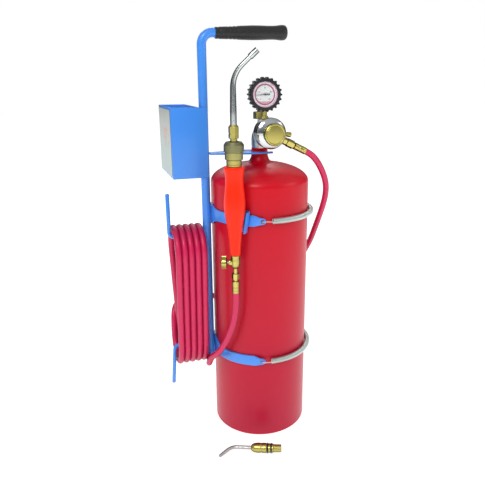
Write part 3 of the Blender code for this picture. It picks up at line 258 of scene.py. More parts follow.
def evened(line, pitch):
    """The same line with its points at an even distance of about this much."""
    reach = [0.0]
    for near, far in zip(line, line[1:]):
        reach.append(reach[-1] + (far - near).length)
    count = max(2, ceil(reach[-1] / pitch))
    even = []
    at = 0
    for step in range(count + 1):
        wanted = reach[-1] * step / count
        while at < len(reach) - 2 and reach[at + 1] < wanted:
            at += 1
        span = reach[at + 1] - reach[at]
        even.append(line[at].lerp(line[at + 1], (wanted - reach[at]) / span))
    return even


def length_of(line):
    return sum((far - near).length for near, far in zip(line, line[1:]))


def piece(name, points, faces, finish):
    """A mesh with one finish, smooth except at its sharp edges."""
    mesh = bpy.data.meshes.new(name)
    mesh.from_pydata([tuple(point) for point in points], [], faces)
    mesh.materials.append(finish.material)
    mesh.shade_smooth()
    mesh.set_sharp_from_angle(angle=radians(35))
    return placed(name, mesh)


def sweep(name, line, radii, finish, sides=20, closed=False, bore=None):
    """A round rod along a line. The radii are one number, or one for each point. A bore is the
    radius and depth of a hole in its first end."""
    if not hasattr(radii, "__len__"):
        radii = [radii] * len(line)
    count = len(line)
    across = None
    points = []
    for at, spot in enumerate(line):
        before = line[(at - 1) % count] if closed or at else spot
        after = line[(at + 1) % count] if closed or at < count - 1 else spot
        along = (after - before).normalized()
        if across is None:
            across = along.orthogonal().normalized()
        across = (across - along * across.dot(along)).normalized()
        third = along.cross(across)
        for side in range(sides):
            turn = 2 * pi * side / sides
            points.append(spot + radii[at] * (across * cos(turn) + third * sin(turn)))
    faces = []
    for at in range(count if closed else count - 1):
        low, high = at * sides, (at + 1) % count * sides
        for side in range(sides):
            following = (side + 1) % sides
            faces.append((low + side, low + following, high + following, high + side))
    if not closed:
        faces.append(tuple(range((count - 1) * sides, count * sides)))
        mouth = list(range(sides))
        if bore:
            inward = (line[1] - line[0]).normalized()
            for depth in (0, bore[1]):
                ring = list(range(len(points), len(points) + sides))
                for corner in points[:sides]:
                    out = (corner - line[0]).normalized()
                    points.append(line[0] + out * bore[0] + inward * depth)
                for side in range(sides):
                    following = (side + 1) % sides
                    faces.append((ring[side], ring[following], mouth[following], mouth[side]))
                mouth = ring
        faces.append(tuple(reversed(mouth)))
    return piece(name, points, faces, finish)


def rides(made, body):
    """The piece moves with the body."""
    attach(made, body)


def stands_for(made, slot, *nodes):
    """The piece moves with the CAD nodes' body and is shown in their place."""
    rides(made, frame["nodes"][nodes[0]].parent.name.removeprefix("body:"))
    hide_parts(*nodes)


shell_low, shell_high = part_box("cylinder_shell")
tank = Vector(((shell_low.x + shell_high.x) / 2, (shell_low.y + shell_high.y) / 2, 0))
nut_low, nut_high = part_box("inlet_nut")
regulator = Vector((tank.x, 0, (nut_low.z + nut_high.z) / 2))
hose_radius = 0.005
outlet_droop = radians(26)
outlet_way = Vector((cos(outlet_droop), 0, -sin(outlet_droop)))
outlet_forward, outlet_length = 0.040, 0.0691
outlet = Vector((regulator.x, tank.y - outlet_forward, regulator.z))
outlet_end = outlet + outlet_way * outlet_length

red_rubber = Finish("red hose rubber", (220, 16, 88), 0.42, coat=0.1)
red_rubber.shade(red_rubber.noise(26, 3) * 0.35, (166, 6, 62))
# Painted shade: the hose darkens where it turns away from the eye.
red_rubber.painted_dark_rims((124, 2, 44), 0.7)
red_rubber.relief(red_rubber.noise(700, 2), 0.00004)

hank_low, hank_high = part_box("hose_hank")
turns = 5
strand = (hank_high.x - hank_low.x) / turns
fold_y = (hank_low.y + hank_high.y) / 2
fold_radius = (hank_high.y - hank_low.y) / 2 - hose_radius
fold_top = hank_high.z - fold_radius - hose_radius
fold_bottom = hank_low.z + fold_radius + hose_radius
top_x = [hank_low.x + strand * (turn + 0.5) for turn in range(turns)]
strand_lean = 0.0022
bottom_x = [x - strand_lean for x in top_x] + [top_x[-1] + strand - strand_lean]


def fold(x, z, start, end, steps=24):
    """Part of a turn of the hose, in an upright plane, about a hook at this height."""
    ways = [start + (end - start) * step / steps for step in range(steps + 1)]
    return [Vector((x, fold_y + fold_radius * cos(way), z + fold_radius * sin(way)))
            for way in ways]


winding = []
for turn in range(turns):
    winding += fold(bottom_x[turn], fold_bottom, 0, -pi)
    winding += fold(top_x[turn], fold_top, pi, 0)
last_x = bottom_x[turns]
winding += fold(last_x, fold_bottom, 0, -pi / 2, 12)
supply = [outlet_end, outlet_end + outlet_way * 0.014] + [tank + Vector(point) for point in (
    (0.0925, -0.0350, 0.4475), (0.1035, -0.0300, 0.4260), (0.1080, -0.0240, 0.4080),
    (0.1090, -0.0160, 0.3890), (0.1075, -0.0050, 0.3650), (0.1040, 0.0100, 0.3320),
    (0.1005, 0.0220, 0.3065), (0.0880, 0.0540, 0.2560), (0.0700, 0.0780, 0.2330),
    (0.0420, 0.0970, 0.2150), (0.0080, 0.1020, 0.2030), (-0.0300, 0.1000, 0.1970),
    (-0.0660, 0.0940, 0.1950), (-0.0980, 0.0850, 0.1990), (-0.1240, 0.0720, 0.2050),
    (-0.1390, 0.0560, 0.2030),
)]
supply.append(Vector((bottom_x[0], fold_y + fold_radius, fold_bottom + 0.018)))
line = spline(supply)[:-1] + winding
under = [Vector((last_x, fold_y, hank_low.z + hose_radius))]
under += [Vector((last_x + x, hank_low.y + y, hank_low.z + z)) for x, y, z in (
    (0.0, 0.0270, 0.0052), (-0.0014, 0.0160, 0.0066), (-0.0048, 0.0060, 0.0110),
)]
hose_line = evened(line + spline(under)[1:], 0.004)
smoothings = 12
for _ in range(smoothings):
    inner = [(before + 2 * here + after) / 4
             for before, here, after in zip(hose_line, hose_line[1:], hose_line[2:])]
    hose_line = [hose_line[0], *inner, hose_line[-1]]
hose = sweep("hose", hose_line, hose_radius, red_rubber)
stands_for(hose, "hose_rubber", "hose_regulator_run", "hose_hank")
length_of(hose_line)

ferrule_low, ferrule_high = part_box("torch_ferrule")
torch = Vector(((ferrule_low.x + ferrule_high.x) / 2, (ferrule_low.y + ferrule_high.y) / 2, 0))
rise = hose_line[-1] - hose_line[-2]
feed = [hose_line[-1], hose_line[-1] + rise.normalized() * 0.009]
feed += [tank + Vector(point) for point in (
    (-0.0985, -0.0500, 0.1500), (-0.0900, -0.0620, 0.1640), (-0.0810, -0.0680, 0.1815),
    (-0.0740, -0.0735, 0.2010), (-0.0690, -0.0780, 0.2215), (-0.0658, -0.0802, 0.2460),
)]
feed += [torch + Vector((0, 0, ferrule_low.z - 0.008)), torch + Vector((0, 0, ferrule_low.z))]
torch_line = evened(spline(feed), 0.004)
torch_hose = sweep("torch_hose", torch_line, hose_radius, red_rubber)
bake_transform(torch_hose)
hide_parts("hose_torch_run")
length_of(torch_line)


# The cylinder: a drawn steel bottle in glossy red enamel, with a skirt rolled in at its foot, a
# domed shoulder and a short threaded neck. A porous filling fills it.
def lathe(name, profile, place, finish, sides=64, flats=None, round_off=0.0):
    """A turned piece. The profile holds radius and height in millimetres, outside from the low end
    up, and starts and ends on the axis or, for a hollow piece, at the same point. Flats are their
    number, their distance from the axis, and the heights they lie between."""
    path = [Vector((radius, height)) for radius, height in profile]
    if round_off:
        soft = [path[0]]
        for before, here, after in zip(path, path[1:], path[2:]):
            back, on = before - here, after - here
            cut = min(round_off, 0.45 * back.length, 0.45 * on.length)
            if cut < 0.01:
                soft.append(here)
                continue
            start, end = here + back.normalized() * cut, here + on.normalized() * cut
            for share in (0, 0.33, 0.67, 1):
                soft.append(start.lerp(here, share).lerp(here.lerp(end, share), share))
        path = soft + [path[-1]]
    if flats:
        count, apothem, low, high = flats
        dense = [path[0]]
        for near, far in zip(path, path[1:]):
            parts = max(1, ceil((far - near).length / 0.6))
            dense += [near.lerp(far, part / parts) for part in range(1, parts + 1)]
        path = dense
        sides = count * 10
    points = []
    for radius, height in path:
        for side in range(sides):
            turn = 2 * pi * side / sides
            reach = radius
            if flats and low <= height <= high:
                off = (turn + pi / count) % (2 * pi / count) - pi / count
                reach = min(radius, apothem / cos(off))
            points.append(place @ Vector((reach * cos(turn), reach * sin(turn), height)))
    rings = len(path)
    faces = []
    for ring in range(rings - 1):
        for side in range(sides):
            following = (side + 1) % sides
            faces.append((ring * sides + side, ring * sides + following,
                          (ring + 1) * sides + following, (ring + 1) * sides + side))
    made = piece(name, points, faces, finish)
    shape = bmesh.new()
    shape.from_mesh(made.data)
    bmesh.ops.remove_doubles(shape, verts=shape.verts, dist=0.000004)
    bmesh.ops.recalc_face_normals(shape, faces=shape.faces)
    shape.to_mesh(made.data)
    shape.free()
    made.data.shade_smooth()
    made.data.set_sharp_from_angle(angle=radians(32))
    return made


def axis_place(origin, way=(0, 0, 1), turned=0.0):
    """Where a turned piece goes: its origin, the way its axis points, and its turn about it."""
    turn = Vector(way).to_track_quat("Z", "Y").to_matrix().to_4x4()
    size = Matrix.Diagonal((0.001, 0.001, 0.001, 1))
    return Matrix.Translation(origin) @ turn @ Matrix.Rotation(turned, 4, "Z") @ size


def start_of(node, way=(0, 0, 1)):
    """The point on its axis where a node that lies along the axis begins."""
    low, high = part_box(node)
    way = Vector(way)
    return (low + high) / 2 - way * abs(way.dot(high - low)) / 2


red_enamel = Finish("red enamel", (206, 0, 24), 0.36, coat=0.06)
red_enamel.set("Specular IOR Level", 0.25)
# Painted shade: the enamel runs to a darker red towards the floor.
painted_shade_height = red_enamel.node("SeparateXYZ", "Z", {0: red_enamel.place()})
red_enamel.shade(1 - painted_shade_height / 0.5, (178, 12, 52))
red_enamel.relief(red_enamel.noise(90, 3), 0.00012)
dome = [(79 * cos(radians(a)), 428 + 30.5 * sin(radians(a))) for a in range(0, 76, 5)]
skirt = [(0, 18), (60, 18), (70, 14.5), (73.6, 9), (74, 1.2), (75.2, 0.1), (77.6, 0), (79, 1.6)]
threads = []
for ring in range(5):
    threads += [(13, 476.3 + ring), (12.5, 476.8 + ring)]
neck = [(23, 456.9), (18.6, 458.6), (15.8, 461.4), (14.1, 465), (13.2, 469)]
mouth = [(12.4, 481), (0, 481)]
cylinder = lathe("cylinder", skirt + dome + neck + threads + mouth, axis_place(tank),
                 red_enamel, 128)
stands_for(cylinder, "tank_enamel", "cylinder_shell")


# The stand: a bent steel tube with a black grip, a folded sheet box for spare tips, a fork that
# takes the cylinder's neck, two straps, the torch's cradle and two rods that the hose is wound
# on, all welded together and enamelled blue.
def bent(corners, radii, steps=12):
    """A line through the corners, each inner corner rounded to its radius."""
    corners = [Vector(corner) for corner in corners]
    line = [corners[0]]
    for before, here, after, radius in zip(corners, corners[1:], corners[2:], radii):
        back, on = (before - here).normalized(), (after - here).normalized()
        turn = pi - back.angle(on)
        cut = radius * tan(turn / 2)
        middle = here + (back + on).normalized() * radius / cos(turn / 2)
        start = here + back * cut
        side = (start - middle).normalized()
        for step in range(steps + 1):
            way = turn * step / steps
            line.append(middle + radius * (side * cos(way) - back * sin(way)))
    return line + [corners[-1]]


def settled(made, crease=35):
    """The piece with its modifiers worked into a plain mesh."""
    worked_out = made.evaluated_get(bpy.context.evaluated_depsgraph_get())
    made.data = bpy.data.meshes.new_from_object(worked_out)
    made.modifiers.clear()
    made.data.name = made.name
    made.data.shade_smooth()
    made.data.set_sharp_from_angle(angle=radians(crease))
    return made


def softened(name, node, finish, width, segments=3):
    """A sheet part: its frame node's own shape with the sharp edges rounded."""
    shape = bmesh.new()
    shape.from_mesh(frame["nodes"][node].data)
    bmesh.ops.remove_doubles(shape, verts=shape.verts, dist=0.000002)
    bmesh.ops.dissolve_limit(shape, angle_limit=radians(1), verts=shape.verts, edges=shape.edges)
    mesh = bpy.data.meshes.new(name)
    shape.to_mesh(mesh)
    shape.free()
    mesh.materials.clear()
    mesh.materials.append(finish.material)
    made = placed(name, mesh)
    rounding = made.modifiers.new("rounding", "BEVEL")
    rounding.width = width
    rounding.segments = segments
    rounding.limit_method = "ANGLE"
    rounding.angle_limit = radians(35)
    return settled(made, 40)


blue = Finish("blue enamel", (62, 142, 236), 0.36, coat=0.3)
blue.shade(blue.noise(14, 2) * 0.3, (48, 124, 222))
blue.relief(blue.noise(160, 2), 0.00008)
pole_low, pole_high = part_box("pole")
pole_radius = (pole_high.y - pole_low.y) / 2
pole_foot = Vector((pole_low.x + pole_radius, (pole_low.y + pole_high.y) / 2, pole_low.z))
pole_top = Vector((pole_foot.x, pole_foot.y, pole_high.z - pole_radius))
pole_end = Vector((pole_high.x, pole_foot.y, pole_top.z))
pole = sweep("pole_tube", bent([pole_foot, pole_top, pole_end], [0.017], 16), pole_radius, blue,
             32, bore=(0.0052, 0.03))
stands_for(pole, "frame_enamel", "pole")

black_rubber = Finish("black rubber", (22, 22, 24), 0.5)
black_rubber.relief(black_rubber.noise(900, 2), 0.00005)
grip_low, grip_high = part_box("handle_grip")
grip_start = Vector((grip_low.x, pole_top.y, pole_top.z - 0.0004))
grip_run = grip_high.x - grip_low.x
grip_line, grip_radii = [], []
for share, radius in (
    (0.0, 7.2), (0.004, 7.9), (0.02, 8.3), (0.035, 8.2), (0.045, 7.9), (0.06, 8.5), (0.12, 8.7),
    (0.17, 8.9), (0.185, 8.4), (0.2, 8.9), (0.22, 9.1), (0.235, 8.6), (0.25, 9.1), (0.27, 9.4),
    (0.285, 8.9), (0.3, 9.4), (0.34, 9.8), (0.5, 10.4), (0.62, 10.3), (0.72, 9.9), (0.8, 9.8),
    (0.86, 10.2), (0.91, 11.0), (0.95, 11.0), (0.975, 10.3), (0.99, 8.6), (0.997, 6.2), (1.0, 3),
):
    grip_line.append(grip_start + Vector((share, 0, share * tan(radians(1.5)))) * grip_run)
    grip_radii.append(radius / 1000)
grip = sweep("grip", grip_line, grip_radii, black_rubber, 40)
stands_for(grip, "black_rubber", "handle_grip")

for name, node in (("box_sheet", "tip_box"), ("neck_fork", "neck_plate"),
                   ("torch_holder", "torch_cradle"), ("strap_upper", "upper_strap"),
                   ("strap_lower", "lower_strap")):
    stands_for(softened(name, node, blue, 0.0007), "frame_enamel", node)

film = Finish("label film", (162, 182, 178), 0.32)
along_film = film.node("SeparateXYZ", "Z", {0: film.place()})
film_low, film_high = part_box("box_label")
film_share = (along_film - film_low.z) / (film_high.z - film_low.z)
stripes = (film_share * 150).math("SINE") * 0.5 + 0.5
upper_part = film_share.math("GREATER_THAN", 0.62)
patch = film.node("SeparateXYZ", "Y", {0: film.place()})
patch_share = (patch - film_low.y) / (film_high.y - film_low.y)
blot = film.noise(70, 2).math("GREATER_THAN", 0.5)
in_patch = patch_share.math("GREATER_THAN", 0.16) * patch_share.math("LESS_THAN", 0.6)
in_patch = in_patch * film_share.math("GREATER_THAN", 0.42) * film_share.math("LESS_THAN", 0.72)
film.shade(stripes * upper_part * 0.35 + in_patch * blot * 0.7, (196, 140, 126))
stands_for(softened("label", "box_label", film, 0.00015, 1), "label_film", "box_label")

for name, node, up_way in (("hook_upper", "upper_hose_hook", 1),
                           ("hook_lower", "lower_hose_hook", -1)):
    rod_low, rod_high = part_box(node)
    rod_radius = (rod_high.y - rod_low.y) / 2
    lean = 0.0 if up_way > 0 else 0.005
    rod_z = rod_low.z + rod_radius if up_way > 0 else rod_high.z - rod_radius
    tip_z = rod_high.z if up_way > 0 else rod_low.z
    start = Vector((rod_high.x, pole_foot.y, rod_z))
    elbow = Vector((rod_low.x + rod_radius + lean, pole_foot.y, rod_z))
    tip = Vector((elbow.x - lean, pole_foot.y, tip_z))
    rod = bent([start, elbow, tip], [0.008])
    last = (rod[-1] - rod[-2]).normalized()
    rod = rod[:-1] + [tip - last * 0.0012, tip - last * 0.0004, tip]
    radii = [rod_radius] * (len(rod) - 2) + [rod_radius * 0.86, rod_radius * 0.6]
    stands_for(sweep(name, rod, radii, blue, 20), "frame_enamel", node)


# The strap springs: closed coils of zinc-plated wire that pull the strap ends together round the
# cylinder's open side. Each end of the wire is bent into a hook through the strap's hole.
def node_tree(name, numbers):
    """An empty Geometry Nodes tree that takes a piece, a material and named numbers."""
    tree = bpy.data.node_groups.new(name, "GeometryNodeTree")
    face = tree.interface
    face.new_socket("Geometry", in_out="INPUT", socket_type="NodeSocketGeometry")
    face.new_socket("Geometry", in_out="OUTPUT", socket_type="NodeSocketGeometry")
    face.new_socket("Material", in_out="INPUT", socket_type="NodeSocketMaterial")
    for number in numbers:
        face.new_socket(number, in_out="INPUT", socket_type="NodeSocketFloat")
    given = tree.nodes.new("NodeGroupInput")
    return tree, {socket.name: Value(tree, socket) for socket in given.outputs if socket.name}


def finish_tree(tree, shape, material):
    """The end of a tree: its shape made real, given the material and handed out."""
    real = node_in(tree, "GeometryNodeRealizeInstances", {0: shape})
    coloured = node_in(tree, "GeometryNodeSetMaterial", {
        "Geometry": real.outputs[0], "Material": material})
    node_in(tree, "NodeGroupOutput", {0: coloured.outputs[0]})


def worked(made, tree, finish, numbers):
    """The piece after the tree has been run on it once, as a plain mesh."""
    modifier = made.modifiers.new("nodes", "NODES")
    modifier.node_group = tree
    for item in tree.interface.items_tree:
        if item.in_out == "INPUT" and item.name == "Material":
            modifier[item.identifier] = finish.material
        elif item.in_out == "INPUT" and item.name in numbers:
            modifier[item.identifier] = float(numbers[item.name])
    made.data.update()
    return settled(made)


coil_tree, asked = node_tree("coil along a line", ("Turns", "Coil radius", "Wire radius"))


def vector_sum(operation, inputs):
    return node_in(coil_tree, "ShaderNodeVectorMath", inputs, operation=operation).outputs[0]


turn_points = 12
as_curve = node_in(coil_tree, "GeometryNodeMeshToCurve", {0: asked["Geometry"]})
resampled = node_in(coil_tree, "GeometryNodeResampleCurve", {
    "Curve": as_curve.outputs[0], "Count": asked["Turns"] * turn_points})
angle = Value(coil_tree, node_in(coil_tree, "GeometryNodeInputIndex").outputs[0])
angle = angle * (2 * pi / turn_points)
normal = node_in(coil_tree, "GeometryNodeInputNormal").outputs[0]
tangent = node_in(coil_tree, "GeometryNodeInputTangent").outputs[0]
other = vector_sum("CROSS_PRODUCT", {0: tangent, 1: normal})
off_line = vector_sum("ADD", {
    0: vector_sum("SCALE", {0: normal, "Scale": angle.math("COSINE")}),
    1: vector_sum("SCALE", {0: other, "Scale": angle.math("SINE")})})
moved = node_in(coil_tree, "GeometryNodeSetPosition", {
    "Geometry": resampled.outputs[0],
    "Offset": vector_sum("SCALE", {0: off_line, "Scale": asked["Coil radius"]})})
section = node_in(coil_tree, "GeometryNodeCurvePrimitiveCircle", {
    "Resolution": 8, "Radius": asked["Wire radius"]})
as_wire = node_in(coil_tree, "GeometryNodeCurveToMesh", {
    "Curve": moved.outputs[0], "Profile Curve": section.outputs[0]})
finish_tree(coil_tree, as_wire.outputs[0], asked["Material"])

zinc = Finish("zinc plated wire", (196, 208, 204), 0.34, metallic=0.85)


def on_cylinder(angle, radius, z):
    """A point beside the cylinder: its angle from the right-hand side, its radius and height."""
    return tank + Vector((radius * cos(radians(angle)), radius * sin(radians(angle)), z))


coil_turns, coil_radius, wire_radius = 166, 0.0039, 0.0008
coil_reach, coil_spread, arc_steps = 0.084, 94.7, 60
for name, node in (("spring_upper", "upper_spring"), ("spring_lower", "lower_spring")):
    coil_low, coil_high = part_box(node)
    level = (coil_low.z + coil_high.z) / 2
    arc_line = [on_cylinder(coil_spread * (2 * step / arc_steps - 1), coil_reach, level)
                for step in range(arc_steps + 1)]
    coil = placed(name, bpy.data.meshes.new(name))
    coil.data.from_pydata([tuple(p) for p in arc_line], [(n, n + 1) for n in range(arc_steps)], [])
    worked(coil, coil_tree, zinc, {"Turns": coil_turns, "Coil radius": coil_radius,
                                   "Wire radius": wire_radius})
    stands_for(coil, "spring_zinc", node)
    for side in (-1, 1):
        hook_line = spline([on_cylinder(side * a, r, level + z) for a, r, z in (
            (94.2, 0.0879, 0), (96.5, 0.0890, 0.0004), (100, 0.0892, 0.0008), (104, 0.0888, 0.0006),
            (106.4, 0.0866, 0.0002), (106.0, 0.0826, 0), (103.8, 0.0818, 0))], 6)
        hook = sweep(f"{name}_hook_{'left' if side > 0 else 'right'}", hook_line,
                     wire_radius, zinc, 10)
        rides(hook, "cart")


# The cylinder's valve: a satin nickel-plated body screwed into the neck, a brass packing nut on
# top, and the steel spindle that a key turns. A soft-metal plug in the shoulder melts in a fire.
nickel = Finish("satin nickel plate", (186, 198, 188), 0.34, metallic=0.85)
# Painted reflection: the nickel darkens where it turns away from the eye.
nickel.painted_dark_rims((84, 98, 90), 1.1)
brass = Finish("brass", (214, 202, 116), 0.29, metallic=1.0)
brass.shade(brass.noise(260, 3) * 0.3, (176, 160, 76))
# Painted reflection: the brass darkens where it turns away from the eye.
brass.painted_dark_rims((66, 58, 14), 1.5)
steel = Finish("steel", (186, 190, 192), 0.26, metallic=1.0)
# Painted reflection: the steel darkens where it turns away from the eye.
steel.painted_dark_rims((40, 44, 48), 1.4)
valve_foot = Vector((tank.x, tank.y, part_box("tank_valve_body")[0].z))
valve = lathe("valve_body", [
    (0, 0), (10.3, 0), (10.5, 3), (11.2, 6), (12.4, 12), (13, 19), (13, 27), (12.2, 33),
    (10.2, 38.6), (8.2, 41.5), (7.5, 43.5), (0, 43.5)], axis_place(valve_foot), nickel, 48,
    round_off=1.2)
stands_for(valve, "chrome_plate", "tank_valve_body")
boss = lathe("valve_boss", [(0, 0), (9, 0), (9, 12), (8.4, 12.8), (0, 12.8)],
             axis_place((tank.x, tank.y - 0.0072, regulator.z), (0, -1, 0)), nickel, 40)
rides(boss, "cart")
packing_foot = start_of("valve_packing_nut")
stands_for(lathe("packing_nut", [
    (0, 0), (10.1, 0), (10.1, 10.0), (8.9, 10.8), (4.2, 10.8), (4.2, 9.4), (0, 9.4)],
    axis_place(packing_foot, turned=radians(12)), brass, flats=(6, 8.75, 0, 10.8)),
    "brass", "valve_packing_nut")
stands_for(softened("valve_spindle", "tank_valve_stem", steel, 0.0003), "steel", "tank_valve_stem")
stands_for(softened("melt_plug", "fusible_plug", brass, 0.0002), "brass", "fusible_plug")


# The regulator: a nut and nipple on the valve's side, a chrome-plated body and bonnet with a thin
# rubber diaphragm between them, a relief valve, and a flat brass knob with a milled rim.
repeat_tree, asked = node_tree("repeat round an axis", ("Count", "Sweep", "Start"))
number = Value(repeat_tree, node_in(repeat_tree, "GeometryNodeInputIndex").outputs[0])
turned_by = number * (asked["Sweep"] / asked["Count"]) + asked["Start"]
turned_so = node_in(repeat_tree, "ShaderNodeCombineXYZ", {"Z": turned_by})
spots = node_in(repeat_tree, "GeometryNodeMeshLine", {"Count": asked["Count"], "Offset": (0, 0, 0)})
copies = node_in(repeat_tree, "GeometryNodeInstanceOnPoints", {
    "Points": spots.outputs[0], "Instance": asked["Geometry"], "Rotation": turned_so.outputs[0]})
finish_tree(repeat_tree, copies.outputs[0], asked["Material"])


def block(name, low, high, finish, taper=1.0):
    """A six-sided block in millimetres. The taper narrows its far end, the one at high X."""
    corners = []
    for x, narrow in ((low[0], 1.0), (high[0], taper)):
        for y in (low[1], high[1]):
            for z in (low[2], high[2]):
                corners.append((x, y * narrow, z))
    faces = [(0, 1, 3, 2), (4, 6, 7, 5), (0, 4, 5, 1), (2, 3, 7, 6), (0, 2, 6, 4), (1, 5, 7, 3)]
    return piece(name, corners, faces, finish)


def ring_of(name, item, place, finish, count, arc=2 * pi, start=0.0):
    """Copies of a small item round an axis, as one piece. The item is in millimetres."""
    worked(item, repeat_tree, finish, {"Count": count, "Sweep": arc, "Start": start})
    item.name = name
    item.data.transform(place)
    return item


chrome = Finish("chrome plate", (214, 218, 220), 0.12, metallic=1.0)
# Painted reflection: the chrome darkens where it turns away from the eye.
chrome.painted_dark_rims((24, 28, 36), 1.5)
axis_y = (0, -1, 0)


def on_axis(depth, turned=0.0):
    """A place on the regulator's axis, this many millimetres in front of the cylinder's middle."""
    return axis_place((tank.x, tank.y - depth / 1000, regulator.z), axis_y, turned)


stands_for(lathe("inlet_nut", [
    (5, 0), (12.6, 0), (13.8, 1.0), (13.8, 11.9), (12.6, 12.9), (6, 12.9), (5, 12.9), (5, 0)],
    on_axis(13.6), brass, flats=(6, 11.95, 0, 12.9)), "brass", "inlet_nut")
stands_for(softened("inlet_nipple", "inlet_nipple", brass, 0.0002), "brass", "inlet_nipple")
stands_for(lathe("regulator_body", [
    (0, 0), (9, 0), (9.6, 1.2), (17, 2.2), (20.4, 4.2), (22.2, 7), (22.6, 9), (22.6, 18.4),
    (0, 18.4)], on_axis(29.3), chrome, 72, round_off=1.2), "chrome_plate", "regulator_body")
stands_for(lathe("diaphragm", [(0, 0), (22.2, 0), (22.2, 0.6), (0, 0.6)], on_axis(48.0),
                 black_rubber, 64), "black_rubber", "regulator_diaphragm")
stands_for(lathe("bonnet", [
    (5, 0.6), (22.6, 0), (23.2, 0.5), (23.2, 6.9), (22.8, 7.6), (19.7, 9.7), (14.8, 11.5),
    (8.4, 12.5), (6.8, 13.7), (4.6, 13.7), (4.6, 11), (5, 0.6)], on_axis(48.9), chrome, 80,
    round_off=0.8), "chrome_plate", "regulator_bonnet")
stands_for(lathe("adjusting_screw", [(0, 0), (4, 0), (4, 10.2), (0, 10.2)],
                 axis_place(start_of("adjusting_screw", axis_y), axis_y), steel, 32),
           "steel", "adjusting_screw")
stands_for(lathe("knob", [
    (0, 0), (14.9, 0), (15.9, 0.8), (16.1, 1.6), (16.1, 5.3), (15.6, 6.3), (14.6, 7.0), (13.9, 7.0),
    (13.6, 6.5), (12.9, 6.45), (12.6, 6.8), (0, 6.8)], on_axis(67.0), brass, 96, round_off=0.25),
    "brass", "adjusting_knob")
milling = ring_of("knob_milling", block("ridge", (15.8, -0.26, 0), (16.65, 0.26, 3.7), brass, 0.5),
                  on_axis(68.6), brass, 72)
rides(milling, "regulator_knob")
relief_droop = radians(7)
relief_way = Vector((cos(relief_droop), 0, -sin(relief_droop)))
relief = axis_place(Vector((tank.x, tank.y - 0.0327, regulator.z)) + relief_way * 0.0235,
                    relief_way)
stands_for(lathe("relief_valve", [
    (0, 0), (3.8, 0), (3.8, 7.4), (3.3, 8.0), (3.3, 10.0), (3.8, 10.6), (3.8, 15.8), (3.2, 17),
    (1.4, 17), (1.4, 15.6), (0, 15.6)], relief, brass, 32, round_off=0.3),
    "brass", "relief_valve")


# The outlet: a brass hexagon screwed into the regulator's lower right, the hose's nut on it, and
# the ferrule that is crimped over the hose's end.
def on_outlet(reach):
    return axis_place(outlet + outlet_way * reach / 1000, outlet_way, radians(10))


stands_for(lathe("outlet_hexagon", [
    (0, 0), (6, 0.6), (6, 9.6), (5.2, 10.3), (0, 10.3)], on_outlet(22.9), brass,
    flats=(6, 5.25, 0.4, 10.3)), "brass", "outlet_fitting")
stands_for(lathe("outlet_nut", [
    (0, 0), (5.8, 0), (6.6, 0.7), (6.6, 11.4), (5.8, 12.2), (0, 12.2)], on_outlet(33.8), brass,
    flats=(6, 5.75, 0, 12.2)), "brass", "outlet_hose_nut")
stands_for(lathe("outlet_ferrule", [
    (0, 0), (3.4, 0), (3.4, 1.6), (5.5, 1.9), (5.5, 8.2), (5.2, 8.6), (5.2, 9.6), (5.5, 10),
    (5.5, 12.4), (4.9, 12.8), (4.9, 14), (5.5, 14.4), (5.5, 17.4), (5.2, 17.8), (5.2, 18.8),
    (5.5, 19.2), (5.5, 22), (5.1, 22.5), (0, 22.5)], on_outlet(46.3), brass, 40), "brass",
    "outlet_ferrule")


# The gauge: a steel case on a brass stem, in a black rubber boot with wedge-shaped teeth. Behind
# its window lie a white dial with a pink ring and a needle.
stem_foot = start_of("gauge_stem")
stem_low, stem_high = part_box("gauge_stem")
stands_for(lathe("gauge_stem", [
    (0, 0), (3.9, 0), (3.9, 1.4), (5.6, 1.6), (6, 2.2), (6, 8.0), (5.6, 8.6), (4.1, 8.8),
    (4.1, (stem_high.z - stem_low.z) * 1000), (0, (stem_high.z - stem_low.z) * 1000)],
    axis_place(stem_foot), brass, flats=(6, 5.3, 1.4, 8.7)), "brass", "gauge_stem")
case_low, case_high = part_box("gauge_case")
gauge = (case_low + case_high) / 2
facing = Vector((-sin(radians(10)), -cos(radians(10)), 0))
rightward = Vector((0, 0, 1)).cross(-facing) * -1
gauge_turn = Matrix((rightward, (0, 0, 1), facing)).transposed().to_4x4()
gauge_place = (Matrix.Translation(gauge) @ gauge_turn @ Matrix.Diagonal((0.001, 0.001, 0.001, 1)))


def on_gauge(depth):
    """A place on the gauge's axis, this many millimetres in front of the case's middle."""
    return gauge_place @ Matrix.Translation((0, 0, depth))


stands_for(lathe("gauge_case", [
    (0, -10.5), (19.6, -10.5), (20.4, -9.7), (20.4, 10.5), (18.2, 10.5), (18.2, 4.2), (0, 4.2)],
    on_gauge(0), steel, 72), "steel", "gauge_case")
stands_for(lathe("gauge_boot", [
    (19.2, -11.6), (22.0, -11.6), (22.8, -10.8), (22.8, 10.8), (22.0, 12.0), (21.2, 12.3),
    (19.4, 12.3), (18.6, 11.6), (18.6, 10.7), (20.5, 10.7), (20.5, -10.7), (19.2, -10.7),
    (19.2, -11.6)], on_gauge(0), black_rubber, 96), "black_rubber", "gauge_boot")
tooth = block("tooth", (22.3, -2.25, -10.6), (25.0, 2.25, 10.6), black_rubber, 0.36)
boot_teeth = ring_of("boot_teeth", tooth, on_gauge(0), black_rubber, 22)
rides(boot_teeth, "cart")

